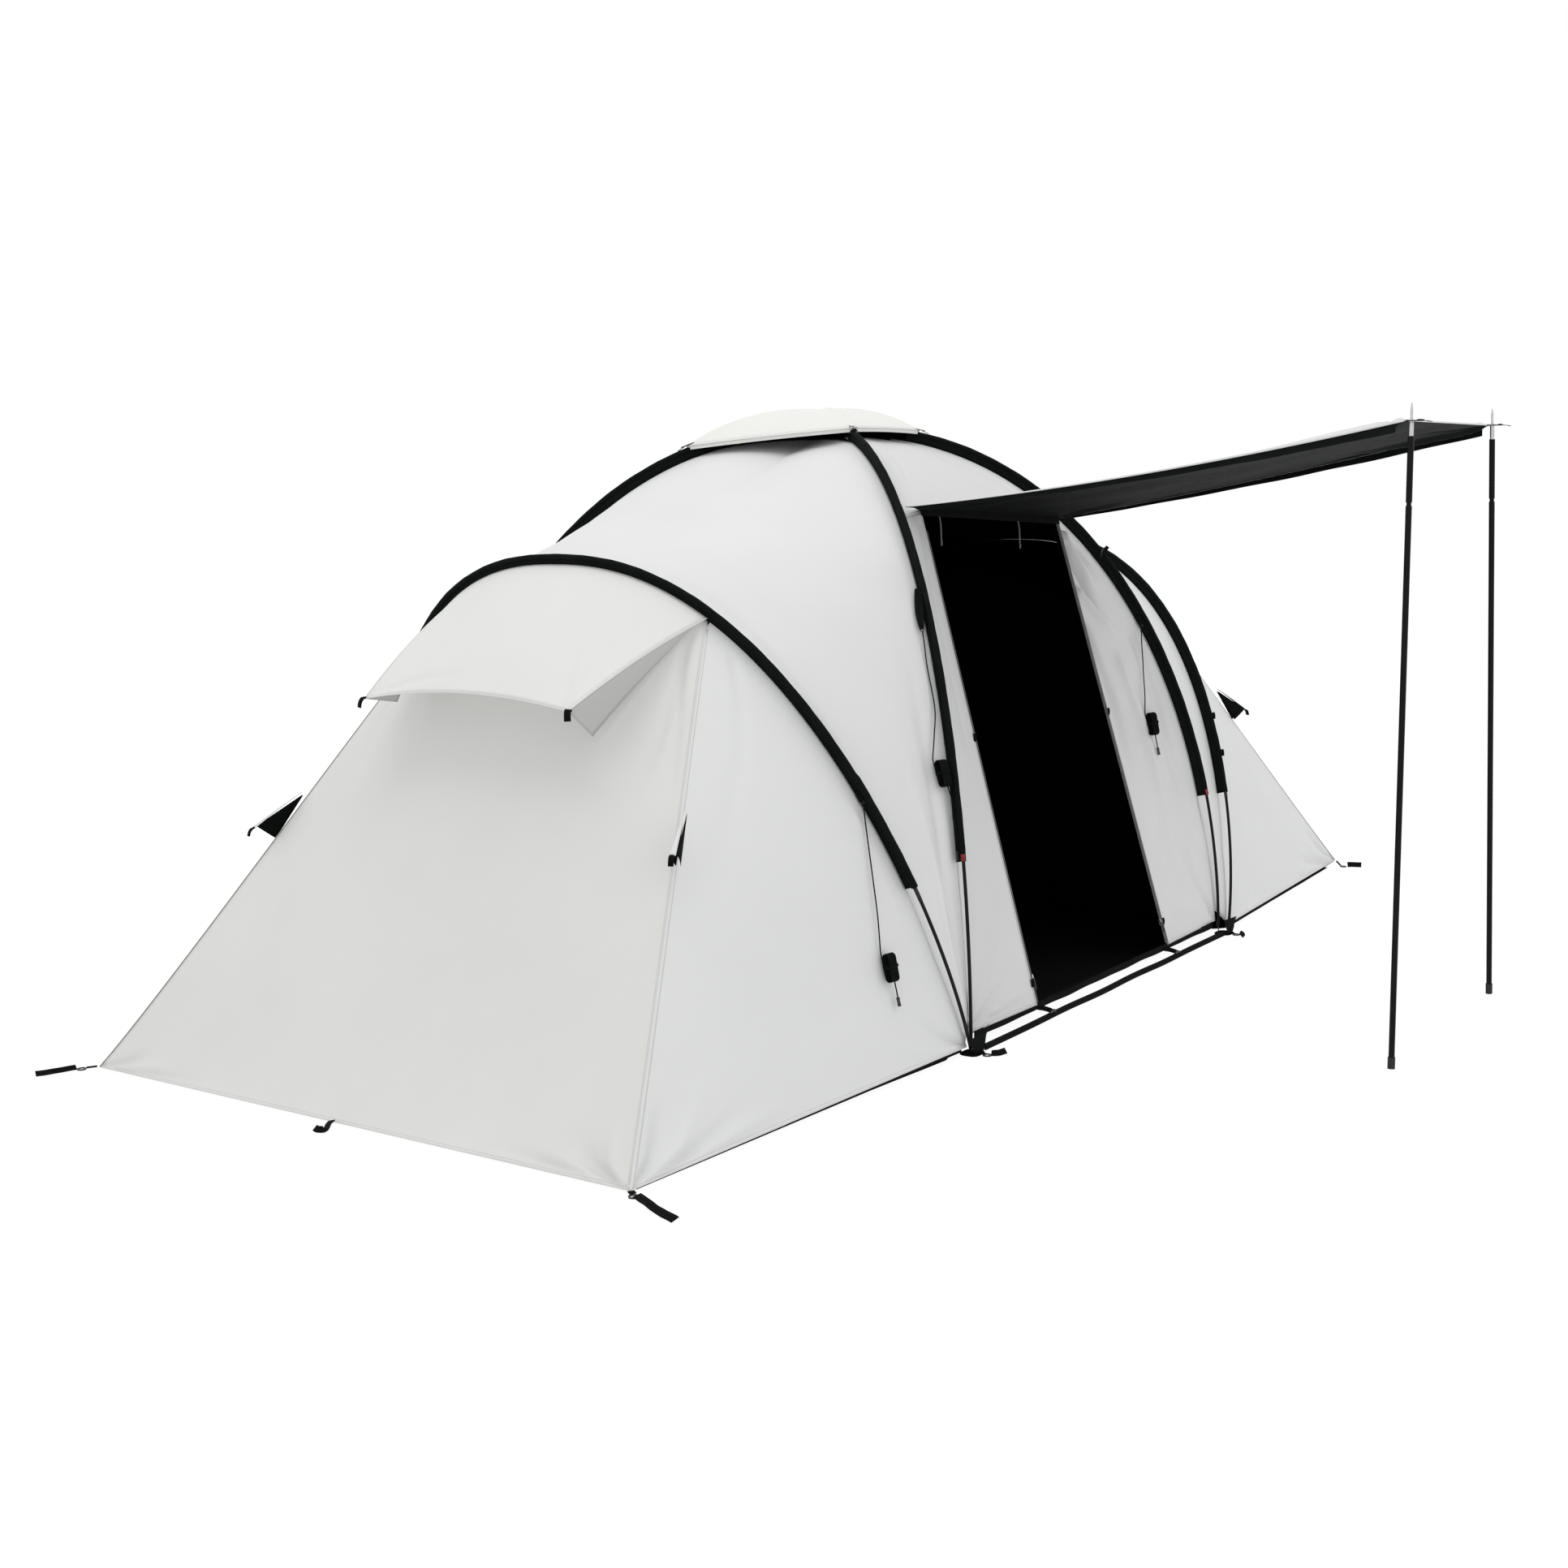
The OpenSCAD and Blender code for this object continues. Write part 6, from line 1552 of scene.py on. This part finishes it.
for e, side in ((1, "left"), (-1, "right")):
    ra_, rb_, rc_ = prof3(CA, -1062), prof3(CB, -1400), prof3(CCp, -2228)
    G = [lerp(ra_, rb_, t) for t in np.linspace(0, 1, 20)[:-1]] + [lerp(rb_, rc_, t) for t in np.linspace(0, 1, 40)]
    G = A(G)
    G = outside(G, (-1500, 0, 300))
    G = dress(G, [], (3.0, 300, 81), 0, 60)
    b = Build()
    shell(b, G, 1.0, (0, 0), (e, 1))
    low = A([[V(-2228, y, z) for y in np.linspace(-925 + (z - 6) * 0.4, 925 - (z - 6) * 0.4, 40)] for z in np.linspace(6, 168, 8)])
    shell(b, outside(low, (-1500, 0, 60)), 1.0, (0, 0), (e, 1))
    fl = A([[V(x, s * float(np.interp(-x, [1063, 1400, 2226], [1004, 984, 924])), 5.0 + 0.5 * math.sin(x / 60 + 4 * s)) for s in np.linspace(-1, 1, 50)] for x in np.linspace(-1063, -2226, 50)])
    shell(b, outside(fl, (-1500, 0, -900)), 1.0, (0, 0), (e, 1))
    # door wall with its arched opening: strips between the wall's outline and the door's
    n = 120
    ys = np.linspace(-1008, 1008, n)

    def wall_top(y):
        return float(np.interp(abs(y), [0, 390, 740, 985, 1010], [1400, 1310, 1030, 480, 6]))

    def door_top(y):
        # opening spans y -370 to 330 seen from the door side
        yc, hw = -20.0, 350.0
        t = (y - yc) / hw
        return None if abs(t) >= 1 else 790 + 350 * math.sqrt(max(0, 1 - t * t))

    yy = sorted(set([*np.linspace(-1008, -370, 30), *np.linspace(-370, 330, 60), *np.linspace(330, 1008, 30)]))
    top_g = A([[V(-1061, y, lerp(max(6.0, (door_top(y) or 790.0)), wall_top(y), r)) for r in np.linspace(0, 1, 14)] for y in np.linspace(-369.9, 329.9, 60)])
    shell(b, outside(top_g, (-1500, 0, 700)), 1.0, (0, 0), (e, 1), (0, 0, 1, 1))
    for y0, y1 in ((-1008, -370), (330, 1008)):
        sg = A([[V(-1061, y, lerp(6.0, wall_top(y), r)) for r in np.linspace(0, 1, 30)] for y in np.linspace(y0, y1, 24)])
        shell(b, outside(sg, (-1500, 0, 700)), 1.0, (0, 0), (e, 1))
    sill = A([[V(-1061, y, lerp(6.0, 90.0, r)) for r in np.linspace(0, 1, 5)] for y in np.linspace(-370, 330, 24)])
    shell(b, outside(sill, (-1500, 0, 700)), 1.0, (0, 0), (e, 1))
    ob = b.obj("inner_room_" + side, [INNER], replaces=["bedroom_" + side], slot="inner_cloth")
    # door leaf: grid over the arch shape with slack cloth
    leaf = []
    for y in np.linspace(-366, 326, 50):
        t = (y + 20) / 346.5
        topz = 790 + 346 * math.sqrt(max(0, 1 - t * t))
        leaf.append([V(-1061.2 - 0.7 * math.sin(y / 40) * math.sin(r * 9), y, lerp(94.0, topz, r)) for r in np.linspace(0, 1, 60)])
    b = Build()
    shell(b, outside(A(leaf), (-1500, 0, 700)), 1.0, (0, 0), (e, 1))
    ob = b.obj("inner_door_" + side, [INNER_DOOR], body="bedroom_%s_door" % side, replaces=["bedroom_%s_door" % side], slot="inner_cloth")
    b = Build()
    zipc = [V(-1059.6, -366, 96)] + [V(-1059.6, -20 - 346 * math.cos(a), 790 + 346 * math.sin(a)) for a in np.linspace(0, math.pi, 60)] + [V(-1059.6, 324, 700)]
    C = A(zipc)
    tube(b, C, 1.6, 6, mirror=(e, 1))
    b.obj("inner_door_zip_" + side, [INNER_ZIP], body="bedroom_%s_door" % side, slot="zip_tape")

# ------------------------------------------------------------------ studio
fl = bpy.data.meshes.new("studio_floor")
fl.from_pydata([(-60, -60, -0.001), (60, -60, -0.001), (60, 60, -0.001), (-60, 60, -0.001)], [], [(0, 1, 2, 3)])
floor = bpy.data.objects.new("studio_floor", fl)
bpy.context.scene.collection.objects.link(floor)
mt, nt, bs = nodes_of("studio_floor")
bs.inputs["Base Color"].default_value = (0.12, 0.12, 0.12, 1)
bs.inputs["Roughness"].default_value = 1.0
bs.inputs["Specular IOR Level"].default_value = 0.0
bs.inputs["Emission Color"].default_value = (1, 1, 1, 1)
bs.inputs["Emission Strength"].default_value = 0.93
fl.materials.append(mt)
world = bpy.data.worlds.new("studio")
bpy.context.scene.world = world
world.use_nodes = True
world.node_tree.nodes["Background"].inputs["Color"].default_value = (1, 1, 1, 1)
world.node_tree.nodes["Background"].inputs["Strength"].default_value = 1.0
bpy.context.scene.view_settings.view_transform = "Standard"


def area_light(name, loc, target, size, power):
    ld = bpy.data.lights.new(name, "AREA")
    ld.shape, ld.size, ld.energy = "SQUARE", size, power
    ob = bpy.data.objects.new(name, ld)
    bpy.context.scene.collection.objects.link(ob)
    ob.location = loc
    ob.rotation_mode = "QUATERNION"
    ob.rotation_quaternion = (Vector(target) - Vector(loc)).to_track_quat("-Z", "Y")


area_light("key", (1.0, -8.0, 7.0), (0, 0, 0.8), 5.0, 70)
area_light("top", (-2.0, 1.0, 9.0), (0, 0.5, 0), 6.0, 190)
